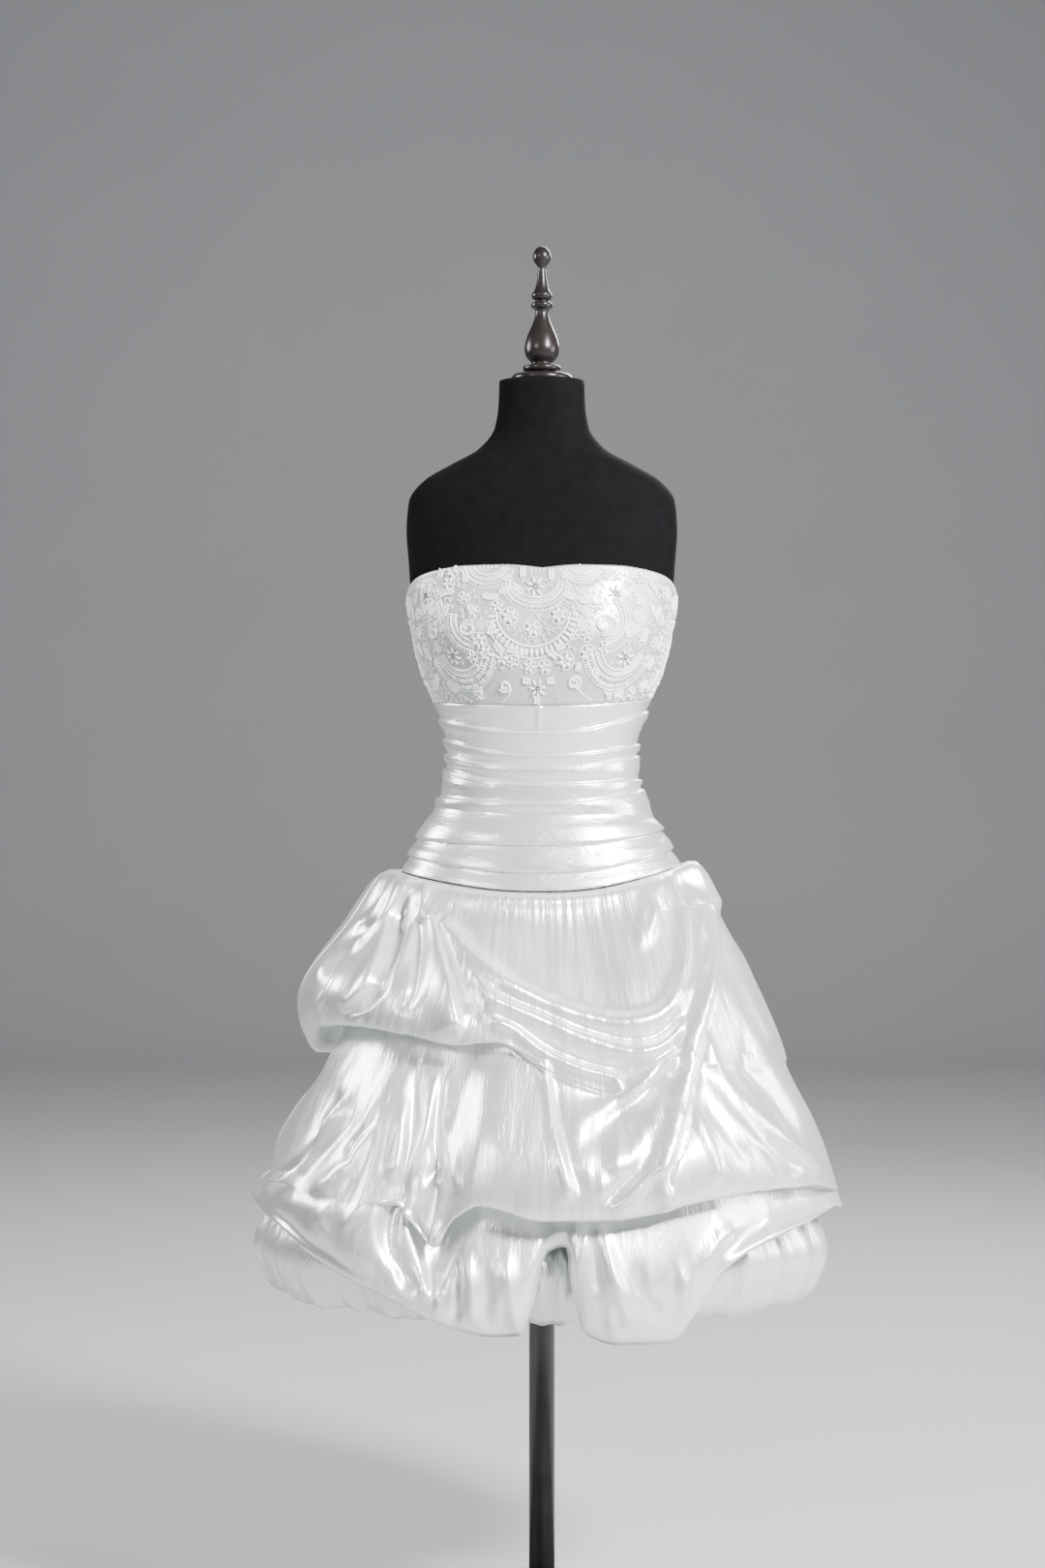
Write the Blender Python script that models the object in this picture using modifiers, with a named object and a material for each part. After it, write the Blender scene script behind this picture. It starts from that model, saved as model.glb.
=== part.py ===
"""Short strapless wedding dress with a picked-up bubble skirt, standing on a plain dress form.

Metres, +Z up. The origin is on the floor, under the middle of the form's pole. The dress faces -Y and +X is on
the viewer's right. A bearing is an angle round the pole in degrees: 0 at the centre front, 90 on the viewer's
right, -90 on the viewer's left and 180 at the centre back.
"""

from collections import namedtuple
from math import atan2, ceil, cos, degrees, exp, radians, sin, tanh

import bmesh
import bpy
from mathutils import Vector

# ---------------------------------------------------------------- driving dimensions
WALL = 0.0020  # skirt cloth, double where it is turned under
BODICE_WALL = 0.0022  # boned bodice and midriff
SEAM_GAP = 0.0003  # between pieces that are sewn together
FORM_GAP = 0.0015  # between the figure and the cloth on it
FORM_SLIM = 0.0012  # the form lies this far inside the figure, because its faces are flat
LACE_RISE = 0.0022  # how far the lace scallops stand out
EYE_DISTANCE = 3.5  # folds are placed as they are seen from here, square to the front
EYE_HEIGHT = 1.03

SKIRT_SIDE = 84  # bearing of the skirt's side seams
BODICE_SIDE = 90  # bearing of the bodice's side seams
PLACKET_HALF = 0.009  # half the width of the strip over the centre-back closure

# ---------------------------------------------------------------- the figure under the cloth
BodyRow = namedtuple("BodyRow", "height half_width front back")
BODY = (
    BodyRow(0.800, 0.176, 0.112, 0.126),
    BodyRow(0.830, 0.178, 0.114, 0.128),
    BodyRow(0.880, 0.174, 0.113, 0.128),
    BodyRow(0.930, 0.163, 0.109, 0.120),
    BodyRow(0.964, 0.149, 0.104, 0.109),
    BodyRow(1.000, 0.129, 0.096, 0.097),
    BodyRow(1.030, 0.117, 0.090, 0.089),
    BodyRow(1.060, 0.113, 0.087, 0.084),
    BodyRow(1.090, 0.115, 0.090, 0.085),
    BodyRow(1.128, 0.128, 0.103, 0.091),
    BodyRow(1.170, 0.145, 0.118, 0.097),
    BodyRow(1.215, 0.156, 0.124, 0.102),
    BodyRow(1.260, 0.163, 0.118, 0.106),
    BodyRow(1.300, 0.166, 0.109, 0.108),
    BodyRow(1.345, 0.169, 0.100, 0.108),
    BodyRow(1.380, 0.166, 0.090, 0.105),
    BodyRow(1.403, 0.150, 0.080, 0.099),
    BodyRow(1.424, 0.116, 0.068, 0.090),
    BodyRow(1.444, 0.080, 0.058, 0.076),
    BodyRow(1.470, 0.060, 0.053, 0.062),
    BodyRow(1.500, 0.055, 0.052, 0.057),
    BodyRow(1.528, 0.054, 0.052, 0.055),
)
BODY_SQUARENESS = 2.3  # 2 is an ellipse, more is squarer
BUST_BEARING, BUST_HEIGHT, BUST_FULLNESS = 30, 1.205, 0.009
BUST_SPREAD_DEG, BUST_SPREAD_Z = 24, 0.042


def smooth_step(x):
    x = min(1.0, max(0.0, x))
    return x * x * (3 - 2 * x)


class SmoothLine:
    """A line through (place, value) pairs that is smooth and never swings past them. It may go round the clock."""

    def __init__(self, places, values, period=None):
        pairs = sorted(zip(places, values))
        if period:
            lead = [(p - period, v) for p, v in pairs[-2:]]
            tail = [(p + period, v) for p, v in pairs[:2]]
            pairs = lead + pairs + tail
        self.period = period
        self.first = pairs[2][0] if period else pairs[0][0]
        self.places = [p for p, _ in pairs]
        self.values = [v for _, v in pairs]
        steps = [b - a for a, b in zip(self.places, self.places[1:])]
        rises = [(b - a) / s for a, b, s in zip(self.values, self.values[1:], steps)]
        self.slopes = [rises[0]]
        for left, right in zip(rises, rises[1:]):
            self.slopes.append(0.0 if left * right <= 0 else 2 * left * right / (left + right))
        self.slopes.append(rises[-1])

    def __call__(self, place):
        if self.period:
            place = (place - self.first) % self.period + self.first
        place = min(self.places[-1], max(self.places[0], place))
        i = 0
        while i < len(self.places) - 2 and place > self.places[i + 1]:
            i += 1
        step = self.places[i + 1] - self.places[i]
        t = (place - self.places[i]) / step
        a, b = self.values[i], self.values[i + 1]
        p, q = self.slopes[i] * step, self.slopes[i + 1] * step
        return a + t * (p + t * (3 * (b - a) - 2 * p - q + t * (2 * (a - b) + p + q)))


def columns_of(rows, key, period=None):
    """One SmoothLine for each column of a table but its key."""
    keys = [getattr(row, key) for row in rows]
    return {
        name: SmoothLine(keys, [getattr(row, name) for row in rows], period)
        for name in rows[0]._fields
        if name != key
    }


BODY_AT = columns_of(BODY, "height")


def body_radius(bearing, height):
    """How far the figure reaches from the pole's line at this bearing and height."""
    side, ahead = abs(sin(radians(bearing))), cos(radians(bearing))
    deep = BODY_AT["front"](height) if ahead > 0 else BODY_AT["back"](height)
    n = BODY_SQUARENESS
    reach = ((side / BODY_AT["half_width"](height)) ** n + (abs(ahead) / deep) ** n) ** (-1 / n)
    off_centre = (abs(bearing) - BUST_BEARING) / BUST_SPREAD_DEG
    off_height = (height - BUST_HEIGHT) / BUST_SPREAD_Z
    return reach + BUST_FULLNESS * exp(-off_centre * off_centre - off_height * off_height)


def around(bearing, radius, height):
    a = radians(bearing)
    return Vector((radius * sin(a), -radius * cos(a), height))


# ---------------------------------------------------------------- seam lines of the bodice
EdgeRow = namedtuple("EdgeRow", "bearing height")
TOP_EDGE = (
    EdgeRow(0, 1.2895),
    EdgeRow(22, 1.2935),
    EdgeRow(42, 1.2930),
    EdgeRow(56, 1.2890),
    EdgeRow(68, 1.2820),
    EdgeRow(80, 1.2670),
    EdgeRow(90, 1.2520),
    EdgeRow(120, 1.2280),
    EdgeRow(150, 1.2150),
    EdgeRow(180, 1.2110),
)
TOP_EDGE_AT = columns_of(TOP_EDGE, "bearing")["height"]

# Each pleat is a fold across the midriff. left, centre, right and back are its heights there. turn is "up" where
# the fold's edge faces up and lies on the pleat above, and "down" where it faces down over the pleat below.
Pleat = namedtuple("Pleat", "name left centre right back turn")
PLEATS = (
    Pleat("underbust", 1.1300, 1.1245, 1.1355, 1.1310, "seam"),
    Pleat("first", 1.1115, 1.0935, 1.1220, 1.1090, "up"),
    Pleat("second", 1.0875, 1.0650, 1.0800, 1.0850, "up"),
    Pleat("third", 1.0680, 1.0500, 1.0660, 1.0620, "up"),
    Pleat("fourth", 1.0515, 1.0310, 1.0360, 1.0390, "up"),
    Pleat("fifth", 1.0145, 1.0080, 1.0255, 1.0150, "up"),
    Pleat("sixth", 1.0010, 0.9940, 0.9885, 0.9930, "up"),
    Pleat("seventh", 0.9620, 0.9565, 0.9735, 0.9700, "down"),
    Pleat("eighth", 0.9415, 0.9235, 0.9500, 0.9460, "down"),
    Pleat("hip", 0.9220, 0.9010, 0.9305, 0.9230, "down"),
)
PLEAT_DEPTH = 0.0026
PLEAT_STEP = 0.0014  # height of the step at a fold's edge


def pleat_height(pleat, bearing):
    """The fold line's height: level across the front and rising or falling at the sides."""
    side = pleat.right if bearing > 0 else pleat.left
    if abs(bearing) <= 90:
        return pleat.centre + (side - pleat.centre) * abs(sin(radians(bearing))) ** 3
    return side + (pleat.back - side) * smooth_step((abs(bearing) - 90) / 90)


def seam_height(bearing):
    """The dropped waist, where the skirt hangs from the midriff."""
    return pleat_height(PLEATS[-1], bearing)


def seam_radius(bearing):
    return body_radius(bearing, seam_height(bearing)) + FORM_GAP + BODICE_WALL


# ---------------------------------------------------------------- skirt tables
# The skirt cloth runs from the dropped waist over two rows of pick-ups to the hem. Each row below says where the
# pouf's lower edge is, how far the cloth bulges between the edges, and how strongly it is tucked under: 1 is a
# full tuck, and 0 is cloth that runs straight on.
ShoulderRow = namedtuple("ShoulderRow", "bearing radius height")
SHOULDER = (
    ShoulderRow(-175, 0.212, 0.868),
    ShoulderRow(-140, 0.226, 0.868),
    ShoulderRow(-95, 0.243, 0.866),
    ShoulderRow(-75, 0.226, 0.862),
    ShoulderRow(-50, 0.192, 0.860),
    ShoulderRow(-30, 0.164, 0.862),
    ShoulderRow(-12, 0.149, 0.864),
    ShoulderRow(0, 0.145, 0.862),
    ShoulderRow(15, 0.148, 0.862),
    ShoulderRow(30, 0.162, 0.868),
    ShoulderRow(45, 0.184, 0.880),
    ShoulderRow(60, 0.202, 0.884),
    ShoulderRow(80, 0.213, 0.882),
    ShoulderRow(95, 0.214, 0.878),
    ShoulderRow(140, 0.220, 0.870),
)
TierRow = namedtuple("TierRow", "bearing edge height bulge tuck")
UPPER_TIER = (
    TierRow(-178, 0.264, 0.690, 0.030, 1.0),
    TierRow(-150, 0.268, 0.728, 0.034, 1.0),
    TierRow(-122, 0.288, 0.686, 0.036, 1.0),
    TierRow(-95, 0.281, 0.695, 0.038, 1.0),
    TierRow(-80, 0.286, 0.716, 0.036, 1.0),
    TierRow(-68, 0.288, 0.738, 0.034, 1.0),
    TierRow(-50, 0.283, 0.745, 0.034, 1.0),
    TierRow(-35, 0.272, 0.738, 0.032, 1.0),
    TierRow(-22, 0.264, 0.729, 0.030, 0.9),
    TierRow(-12, 0.256, 0.733, 0.020, 0.50),
    TierRow(-2, 0.251, 0.715, 0.014, 0.15),
    TierRow(8, 0.254, 0.697, 0.012, 0.05),
    TierRow(18, 0.262, 0.685, 0.012, 0.05),
    TierRow(28, 0.272, 0.703, 0.012, 0.0),
    TierRow(40, 0.284, 0.718, 0.012, 0.0),
    TierRow(60, 0.302, 0.708, 0.010, 0.0),
    TierRow(75, 0.302, 0.702, 0.006, 0.1),
    TierRow(95, 0.297, 0.697, 0.006, 0.8),
    TierRow(122, 0.286, 0.684, 0.026, 1.0),
    TierRow(150, 0.268, 0.726, 0.032, 1.0),
)
MIDDLE_TIER = (
    TierRow(-178, 0.318, 0.585, 0.024, 1.0),
    TierRow(-148, 0.322, 0.622, 0.024, 1.0),
    TierRow(-120, 0.328, 0.584, 0.022, 1.0),
    TierRow(-95, 0.324, 0.602, 0.008, 1.0),
    TierRow(-80, 0.332, 0.582, 0.004, 0.4),
    TierRow(-68, 0.343, 0.570, 0.002, 0.0),
    TierRow(-50, 0.343, 0.566, 0.004, 0.0),
    TierRow(-38, 0.335, 0.562, 0.004, 0.0),
    TierRow(-31, 0.322, 0.548, 0.006, 0.4),
    TierRow(-24, 0.318, 0.506, 0.004, 1.0),
    TierRow(-18, 0.320, 0.540, 0.012, 1.0),
    TierRow(-13, 0.322, 0.553, 0.018, 1.0),
    TierRow(0, 0.322, 0.537, 0.020, 1.0),
    TierRow(15, 0.327, 0.538, 0.022, 1.0),
    TierRow(30, 0.337, 0.552, 0.018, 1.0),
    TierRow(45, 0.350, 0.561, 0.014, 1.0),
    TierRow(60, 0.364, 0.558, 0.010, 0.9),
    TierRow(70, 0.370, 0.549, 0.006, 0.5),
    TierRow(77, 0.366, 0.545, 0.006, 0.15),
    TierRow(95, 0.331, 0.598, 0.014, 0.9),
    TierRow(120, 0.328, 0.584, 0.022, 1.0),
    TierRow(148, 0.322, 0.618, 0.024, 1.0),
)
HEM_TIER = (
    TierRow(-178, 0.340, 0.495, 0.014, 1.0),
    TierRow(-148, 0.344, 0.530, 0.014, 1.0),
    TierRow(-120, 0.346, 0.500, 0.014, 1.0),
    TierRow(-95, 0.352, 0.520, 0.010, 1.0),
    TierRow(-78, 0.360, 0.526, 0.006, 1.0),
    TierRow(-68, 0.360, 0.520, 0.002, 1.0),
    TierRow(-60, 0.361, 0.512, 0.000, 1.0),
    TierRow(-50, 0.358, 0.489, 0.002, 1.0),
    TierRow(-40, 0.350, 0.466, 0.005, 1.0),
    TierRow(-30, 0.339, 0.444, 0.008, 1.0),
    TierRow(-20, 0.325, 0.420, 0.012, 1.0),
    TierRow(-10, 0.311, 0.410, 0.016, 1.0),
    TierRow(-5.5, 0.304, 0.410, 0.016, 1.0),
    TierRow(-2.5, 0.300, 0.442, 0.012, 1.0),
    TierRow(1, 0.289, 0.500, 0.003, 1.0),
    TierRow(5, 0.287, 0.506, 0.002, 1.0),
    TierRow(9, 0.298, 0.412, 0.012, 1.0),
    TierRow(16, 0.303, 0.398, 0.016, 1.0),
    TierRow(29, 0.307, 0.396, 0.014, 1.0),
    TierRow(34, 0.318, 0.428, 0.010, 1.0),
    TierRow(39, 0.331, 0.472, 0.004, 1.0),
    TierRow(46, 0.344, 0.497, -0.004, 1.0),
    TierRow(57, 0.358, 0.514, -0.008, 1.0),
    TierRow(70, 0.366, 0.522, -0.003, 1.0),
    TierRow(78, 0.363, 0.522, 0.002, 1.0),
    TierRow(95, 0.351, 0.518, 0.010, 1.0),
    TierRow(120, 0.346, 0.500, 0.014, 1.0),
    TierRow(148, 0.344, 0.530, 0.014, 1.0),
)
SHOULDER_AT = columns_of(SHOULDER, "bearing", 360)
UPPER_AT = columns_of(UPPER_TIER, "bearing", 360)
MIDDLE_AT = columns_of(MIDDLE_TIER, "bearing", 360)
HEM_AT = columns_of(HEM_TIER, "bearing", 360)

PUFF_AT, PUFF = 0.35, (0.007, 0.006)  # the gathers stand up a little just below the dropped waist
PUFF_SIDE_RISE = 0.011  # and more so at the hips
FULL_TUCK = (-0.034, 0.030)  # in and up from a pouf's edge to where it is tacked
NO_TUCK = (0.007, -0.014)  # the same step where the cloth just runs on down
TUCK_DROP = (0.001, -0.036)  # from the tack down behind the pouf's edge
HEM_TURN = ((-0.014, -0.004), (-0.024, 0.014))  # the hem rolled under, from its edge
BULGE_AT = 0.55  # how far down a tier its fullest point is

# The underskirt hangs from the dropped waist, and its puffed hem shows below the picked-up skirt.
UnderRow = namedtuple("UnderRow", "bearing belly hem")
UNDERSKIRT = (
    UnderRow(-178, 0.306, 0.404),
    UnderRow(-130, 0.318, 0.408),
    UnderRow(-95, 0.348, 0.408),
    UnderRow(-78, 0.341, 0.408),
    UnderRow(-60, 0.314, 0.408),
    UnderRow(-45, 0.290, 0.406),
    UnderRow(-30, 0.272, 0.408),
    UnderRow(-15, 0.262, 0.407),
    UnderRow(0, 0.256, 0.405),
    UnderRow(15, 0.258, 0.406),
    UnderRow(30, 0.268, 0.406),
    UnderRow(45, 0.294, 0.404),
    UnderRow(60, 0.325, 0.405),
    UnderRow(78, 0.346, 0.408),
    UnderRow(95, 0.348, 0.412),
    UnderRow(130, 0.318, 0.408),
)
UNDER_AT = columns_of(UNDERSKIRT, "bearing", 360)
UNDER_FALL = ((0.112, 0.655), (0.050, 0.556), (0.000, 0.480))  # in from the belly, and height
UNDER_HEM = ((0.006, 0.024), (0.026, 0.000), (0.046, 0.020))  # in from the belly, and up from the hem
UNDER_TOP_DROP = 0.016  # its top edge lies this far below the dropped waist
UNDER_GATHERS, GATHER_RISE = 15, 0.005  # gathers round the puffed hem

# ---------------------------------------------------------------- folds
# A fold is a soft ridge, or a trough where rise is negative, along a curve through its points. The points are
# (across, height) in millimetres as seen from the front or, with view "back", from behind. left and right are its
# widths in millimetres on either side of its line, looking down it.
Fold = namedtuple("Fold", "view points rise left right")
FOLDS = (
    Fold("front", ((-154, 915), (-192, 850), (-226, 766), (-262, 728)), 8, 14, 14),
    Fold("front", ((-152, 912), (-170, 850), (-196, 790), (-240, 745)), -6, 9, 12),
    Fold("front", ((-152, 912), (-145, 814), (-117, 712)), 15, 10, 26),
    Fold("front", ((-146, 905), (-122, 820), (-101, 735)), -8, 9, 9),
    Fold("front", ((-141, 910), (-72, 812), (20, 768), (108, 740), (168, 790), (162, 915)), 7, 11, 16),
    Fold("front", ((-141, 905), (-78, 818), (30, 735), (122, 704), (190, 780), (178, 915)), 8, 10, 12),
    Fold("front", ((186, 916), (213, 850), (200, 740), (170, 610), (148, 515)), 15, 12, 9),
    Fold("front", ((182, 918), (202, 860), (168, 705), (130, 590), (70, 494)), 8, 12, 10),
    Fold("front", ((160, 700), (90, 625), (30, 592)), 7, 10, 12),
    Fold("front", ((-5, 688), (4, 630), (14, 576), (27, 512)), 4, 7, 7),
    Fold("front", ((-192, 706), (-242, 646), (-288, 586), (-352, 536)), 12, 26, 9),
    Fold("front", ((-160, 700), (-164, 600), (-176, 530), (-192, 488), (-180, 440), (-158, 392)), -12, 12, 12),
    Fold("front", ((-130, 700), (-134, 620), (-136, 550), (-140, 520)), -9, 9, 10),
    Fold("front", ((-146, 700), (-144, 620), (-152, 560), (-174, 508), (-160, 440), (-144, 390)), 6, 8, 9),
    Fold("front", ((222, 840), (262, 700), (300, 610), (345, 540)), 7, 16, 18),
    Fold("front", ((205, 730), (250, 640), (322, 545)), -5, 14, 14),
    Fold("front", ((50, 484), (36, 430), (32, 360)), 9, 9, 9),
    Fold("front", ((54, 484), (68, 420), (86, 345)), 9, 9, 9),
    Fold("front", ((70, 484), (96, 420), (104, 350)), -5, 8, 8),
    Fold("front", ((-180, 905), (-232, 850), (-290, 790)), 6, 12, 14),
    Fold("back", ((-150, 900), (-110, 800), (-60, 745), (0, 730), (60, 745), (110, 800), (150, 900)), 9, 14, 16),
    Fold("back", ((-150, 905), (-90, 850), (0, 815), (90, 850), (150, 905)), 8, 12, 14),
    Fold("back", ((-134, 740), (-100, 660), (0, 625), (100, 660), (134, 740)), 8, 12, 14),
    Fold("back", ((-140, 740), (-190, 660), (-262, 620)), 9, 12, 14),
    Fold("back", ((140, 740), (190, 660), (262, 620)), 9, 14, 12),
    Fold("back", ((-160, 630), (-130, 560), (0, 520), (130, 560), (160, 630)), 7, 12, 14),
    Fold("back", ((-166, 905), (-186, 810), (-170, 740)), -7, 10, 10),
    Fold("back", ((166, 905), (186, 810), (170, 740)), -7, 10, 10),
    Fold("back", ((-172, 905), (-236, 820), (-280, 760)), 8, 14, 12),
    Fold("back", ((172, 905), (236, 820), (280, 760)), 8, 12, 14),
)
MM = 0.001
FOLD_STEP = 0.012  # a fold's curve is followed in steps of about this
FOLD_LEAST_WIDTH = 0.015
FOLD_MOST = 0.016  # where folds meet, their rises level off towards this
FOLD_ENDS = 0.16  # share of a fold's length over which it dies away at each end
FRONT_FADE, FRONT_FULL = 0.05, 0.40  # a fold dies away where the skirt turns from its view


def catmull_rom(points, each):
    """A smooth curve through points, with this many steps between one point and the next."""
    ends = [points[0] * 2 - points[1], *points, points[-1] * 2 - points[-2]]
    curve = []
    for a, b, c, d in zip(ends, ends[1:], ends[2:], ends[3:]):
        for k in range(each):
            t = k / each
            curve.append(
                0.5 * (2 * b + (c - a) * t + (2 * a - 5 * b + 4 * c - d) * t**2 + (3 * b - a - 3 * c + d) * t**3)
            )
    return [*curve, points[-1].copy()]


def fold_line(fold):
    points = [Vector((x, z)) * MM for x, z in fold.points]
    length = sum((b - a).length for a, b in zip(points, points[1:]))
    each = max(2, ceil(length / FOLD_STEP / (len(points) - 1)))
    return catmull_rom(points, each)


FOLD_LINES = [(fold, fold_line(fold)) for fold in FOLDS]


def fold_rise(fold, line, across, height):
    """How far one fold lifts the cloth at a point of its view."""
    here = Vector((across, height))
    best, share, side = 1.0, 0.0, 1.0
    for i, (a, b) in enumerate(zip(line, line[1:])):
        run = b - a
        t = min(1.0, max(0.0, (here - a).dot(run) / run.length_squared))
        away = here - (a + run * t)
        if away.length < best:
            best = away.length
            share = (i + t) / (len(line) - 1)
            side = run.x * away.y - run.y * away.x
    width = max(FOLD_LEAST_WIDTH, (fold.left if side > 0 else fold.right) * MM)
    ends = smooth_step(min(share, 1 - share) / FOLD_ENDS)
    return fold.rise * MM * ends * exp(-((best / width) ** 2))


def folds_at(point, bearing):
    """How far all the folds lift the skirt there."""
    total = 0.0
    ahead = cos(radians(bearing))
    for view, facing in (("front", ahead), ("back", -ahead)):
        strength = smooth_step((facing - FRONT_FADE) / (FRONT_FULL - FRONT_FADE))
        if strength == 0:
            continue
        if view == "front":
            nearer = EYE_DISTANCE / (EYE_DISTANCE + point.y)
            across, height = point.x * nearer, EYE_HEIGHT + (point.z - EYE_HEIGHT) * nearer
        else:
            across, height = -point.x, point.z
        for fold, line in FOLD_LINES:
            if fold.view == view:
                total += strength * fold_rise(fold, line, across, height)
    return FOLD_MOST * tanh(total / FOLD_MOST)


# ---------------------------------------------------------------- skirt shape
def tier_points(start, tier, bearing):
    """Four points of a profile: the tier's fullest point, its edge, the tack, and the drop behind the edge."""
    edge = Vector((tier["edge"](bearing), tier["height"](bearing)))
    tuck = tier["tuck"](bearing)
    fullest = start.lerp(edge, BULGE_AT) + Vector((tier["bulge"](bearing), 0.0))
    tack = edge + Vector(NO_TUCK).lerp(Vector(FULL_TUCK), tuck)
    drop = tack + Vector(NO_TUCK).lerp(Vector(TUCK_DROP), tuck)
    return fullest, edge, tack, drop


def skirt_profile(bearing):
    """(radius, height) points down the cloth at one bearing, with the share of each fold that they take."""
    seam = Vector((seam_radius(bearing), seam_height(bearing) - SEAM_GAP))
    shoulder = Vector((SHOULDER_AT["radius"](bearing), SHOULDER_AT["height"](bearing)))
    upper = tier_points(shoulder, UPPER_AT, bearing)
    middle = tier_points(upper[-1], MIDDLE_AT, bearing)
    hem = Vector((HEM_AT["edge"](bearing), HEM_AT["height"](bearing)))
    fullest = middle[-1].lerp(hem, BULGE_AT) + Vector((HEM_AT["bulge"](bearing), 0.0))
    turned = [hem + Vector(step) for step in HEM_TURN]
    hip = abs(sin(radians(bearing))) ** 4
    puff = seam.lerp(shoulder, PUFF_AT) + Vector((PUFF[0], PUFF[1] + PUFF_SIDE_RISE * hip))
    points = [seam, puff, shoulder, *upper, *middle, fullest, hem, *turned]
    shares = [0.0, 0.4, 0.8, 1.0, 0.9, 0.1, 0.2, 1.0, 0.9, 0.1, 0.2, 1.0, 0.7, 0.2, 0.1]
    return points, shares


def spread_along(points, shares, steps):
    """The profile as a smooth curve, with steps[i] stretches between its points i and i + 1."""
    ends = [points[0] * 2 - points[1], *points, points[-1] * 2 - points[-2]]
    curve = []
    for i, count in enumerate(steps):
        a, b, c, d = ends[i : i + 4]
        for k in range(count):
            t = k / count
            p = 0.5 * (2 * b + (c - a) * t + (2 * a - 5 * b + 4 * c - d) * t**2 + (3 * b - a - 3 * c + d) * t**3)
            curve.append((p, shares[i] + (shares[i + 1] - shares[i]) * t))
    return [*curve, (points[-1], shares[-1])]


SKIRT_STEPS = (1, 1, 3, 3, 2, 1, 2, 3, 2, 1, 2, 2, 1, 1)  # stretches of the wall between its profile's points


def under_profile(bearing):
    belly, hem = UNDER_AT["belly"](bearing), UNDER_AT["hem"](bearing)
    top_height = seam_height(bearing) - UNDER_TOP_DROP
    top = Vector((body_radius(bearing, top_height) + FORM_GAP + WALL, top_height))
    fall = [Vector((belly - inward, height)) for inward, height in UNDER_FALL]
    turned = [Vector((belly - inward, hem + up)) for inward, up in UNDER_HEM]
    points = [top, top.lerp(fall[0], 0.55), *fall, *turned]
    return points, [0.0, 0.2, 0.4, 0.6, 1.0, 0.9, 0.5, 0.3]


UNDER_STEPS = (1, 1, 1, 2, 1, 1, 1)


# ---------------------------------------------------------------- lace
# Raised scallops of the lace on the front, as seen from the front in millimetres. An arc runs from one angle to the
# other round its centre, measured from straight down, with positive to the right.
LaceArc = namedtuple("LaceArc", "across height radius start end")
LACE = (
    LaceArc(-64, 1296, 31, -85, 85),
    LaceArc(48, 1296, 31, -85, 85),
    LaceArc(-10, 1282, 36, -75, 75),
    LaceArc(-10, 1250, 57, -80, 80),
    LaceArc(-112, 1245, 27, -130, 60),
    LaceArc(84, 1240, 25, -60, 130),
    LaceArc(-106, 1188, 25, -100, 100),
    LaceArc(96, 1194, 25, -100, 100),
    LaceArc(-46, 1160, 22, -80, 80),
    LaceArc(34, 1160, 22, -80, 80),
    LaceArc(-140, 1215, 30, -90, 90),
    LaceArc(136, 1215, 30, -90, 90),
)
LACE_WIDTH = 0.0085
BUST_FRONT_ROWS, BUST_BACK_ROWS = 12, 6


def lace_share(across, height):
    """1 on the middle of a scallop's line, falling to 0 beside it."""
    best = 1.0
    for arc in LACE:
        reach = Vector((across - arc.across * MM, height - arc.height * MM))
        turn = degrees(atan2(reach.x, -reach.y))
        near = radians(min(arc.end, max(arc.start, turn)))
        on_arc = Vector((sin(near), -cos(near))) * arc.radius * MM
        best = min(best, (reach - on_arc).length)
    return exp(-((best / LACE_WIDTH) ** 2))


# ---------------------------------------------------------------- building
def spread(start, end, count):
    return [start + (end - start) * k / count for k in range(count + 1)]


def ring_normals(grid, seams):
    """The outward normal at each point of a ring of points, and how much longer an even wall is there.

    On the columns in seams it keeps to the column's own plane, so that two pieces meet there with flat edges.
    """
    rows, columns = len(grid), len(grid[0])
    faces = []
    for upper, lower in zip(grid, grid[1:]):
        line = []
        for j in range(columns):
            k = (j + 1) % columns
            line.append((lower[k] - upper[j]).cross(upper[k] - lower[j]).normalized())
        faces.append(line)
    normals = []
    for i in range(rows):
        line = []
        for j in range(columns):
            near = [faces[a][b] for a in (i - 1, i) if 0 <= a < rows - 1 for b in (j - 1, j)]
            normal = sum(near, Vector()).normalized()
            if j in seams:
                aside = Vector((-grid[0][j].y, grid[0][j].x, 0)).normalized()
                normal = (normal - aside * normal.dot(aside)).normalized()
            leaning = min(normal.dot(face) for face in near)
            line.append((normal, 1 / max(0.7, leaning)))
        normals.append(line)
    return normals


def inner_wall(grid, wall, seams):
    """The same ring of points on the inner side of the cloth."""
    return [
        [point - normal * (wall * longer) for point, (normal, longer) in zip(row, line)]
        for row, line in zip(grid, ring_normals(grid, seams))
    ]


def make_object(name, bm, material):
    mesh = bpy.data.meshes.new(name)
    bmesh.ops.recalc_face_normals(bm, faces=bm.faces)
    bm.to_mesh(mesh)
    bm.free()
    mesh.materials.append(material)
    obj = bpy.data.objects.new(name, mesh)
    COLLECTION.objects.link(obj)
    return obj


def add_walls(name, outer, inner, material):
    """One closed wall between two sheets of points, its rows running down and its columns round the pole."""
    bm = bmesh.new()
    out, back = [[[bm.verts.new(point) for point in row] for row in grid] for grid in (outer, inner)]
    rows, columns = len(outer), len(outer[0])
    for skin in (out, back):
        for i in range(rows - 1):
            for j in range(columns - 1):
                bm.faces.new((skin[i][j], skin[i + 1][j], skin[i + 1][j + 1], skin[i][j + 1]))
    for i in (0, rows - 1):
        for j in range(columns - 1):
            bm.faces.new((out[i][j], out[i][j + 1], back[i][j + 1], back[i][j]))
    for j in (0, columns - 1):
        for i in range(rows - 1):
            bm.faces.new((out[i][j], out[i + 1][j], back[i + 1][j], back[i][j]))
    return make_object(name, bm, material)


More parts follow.
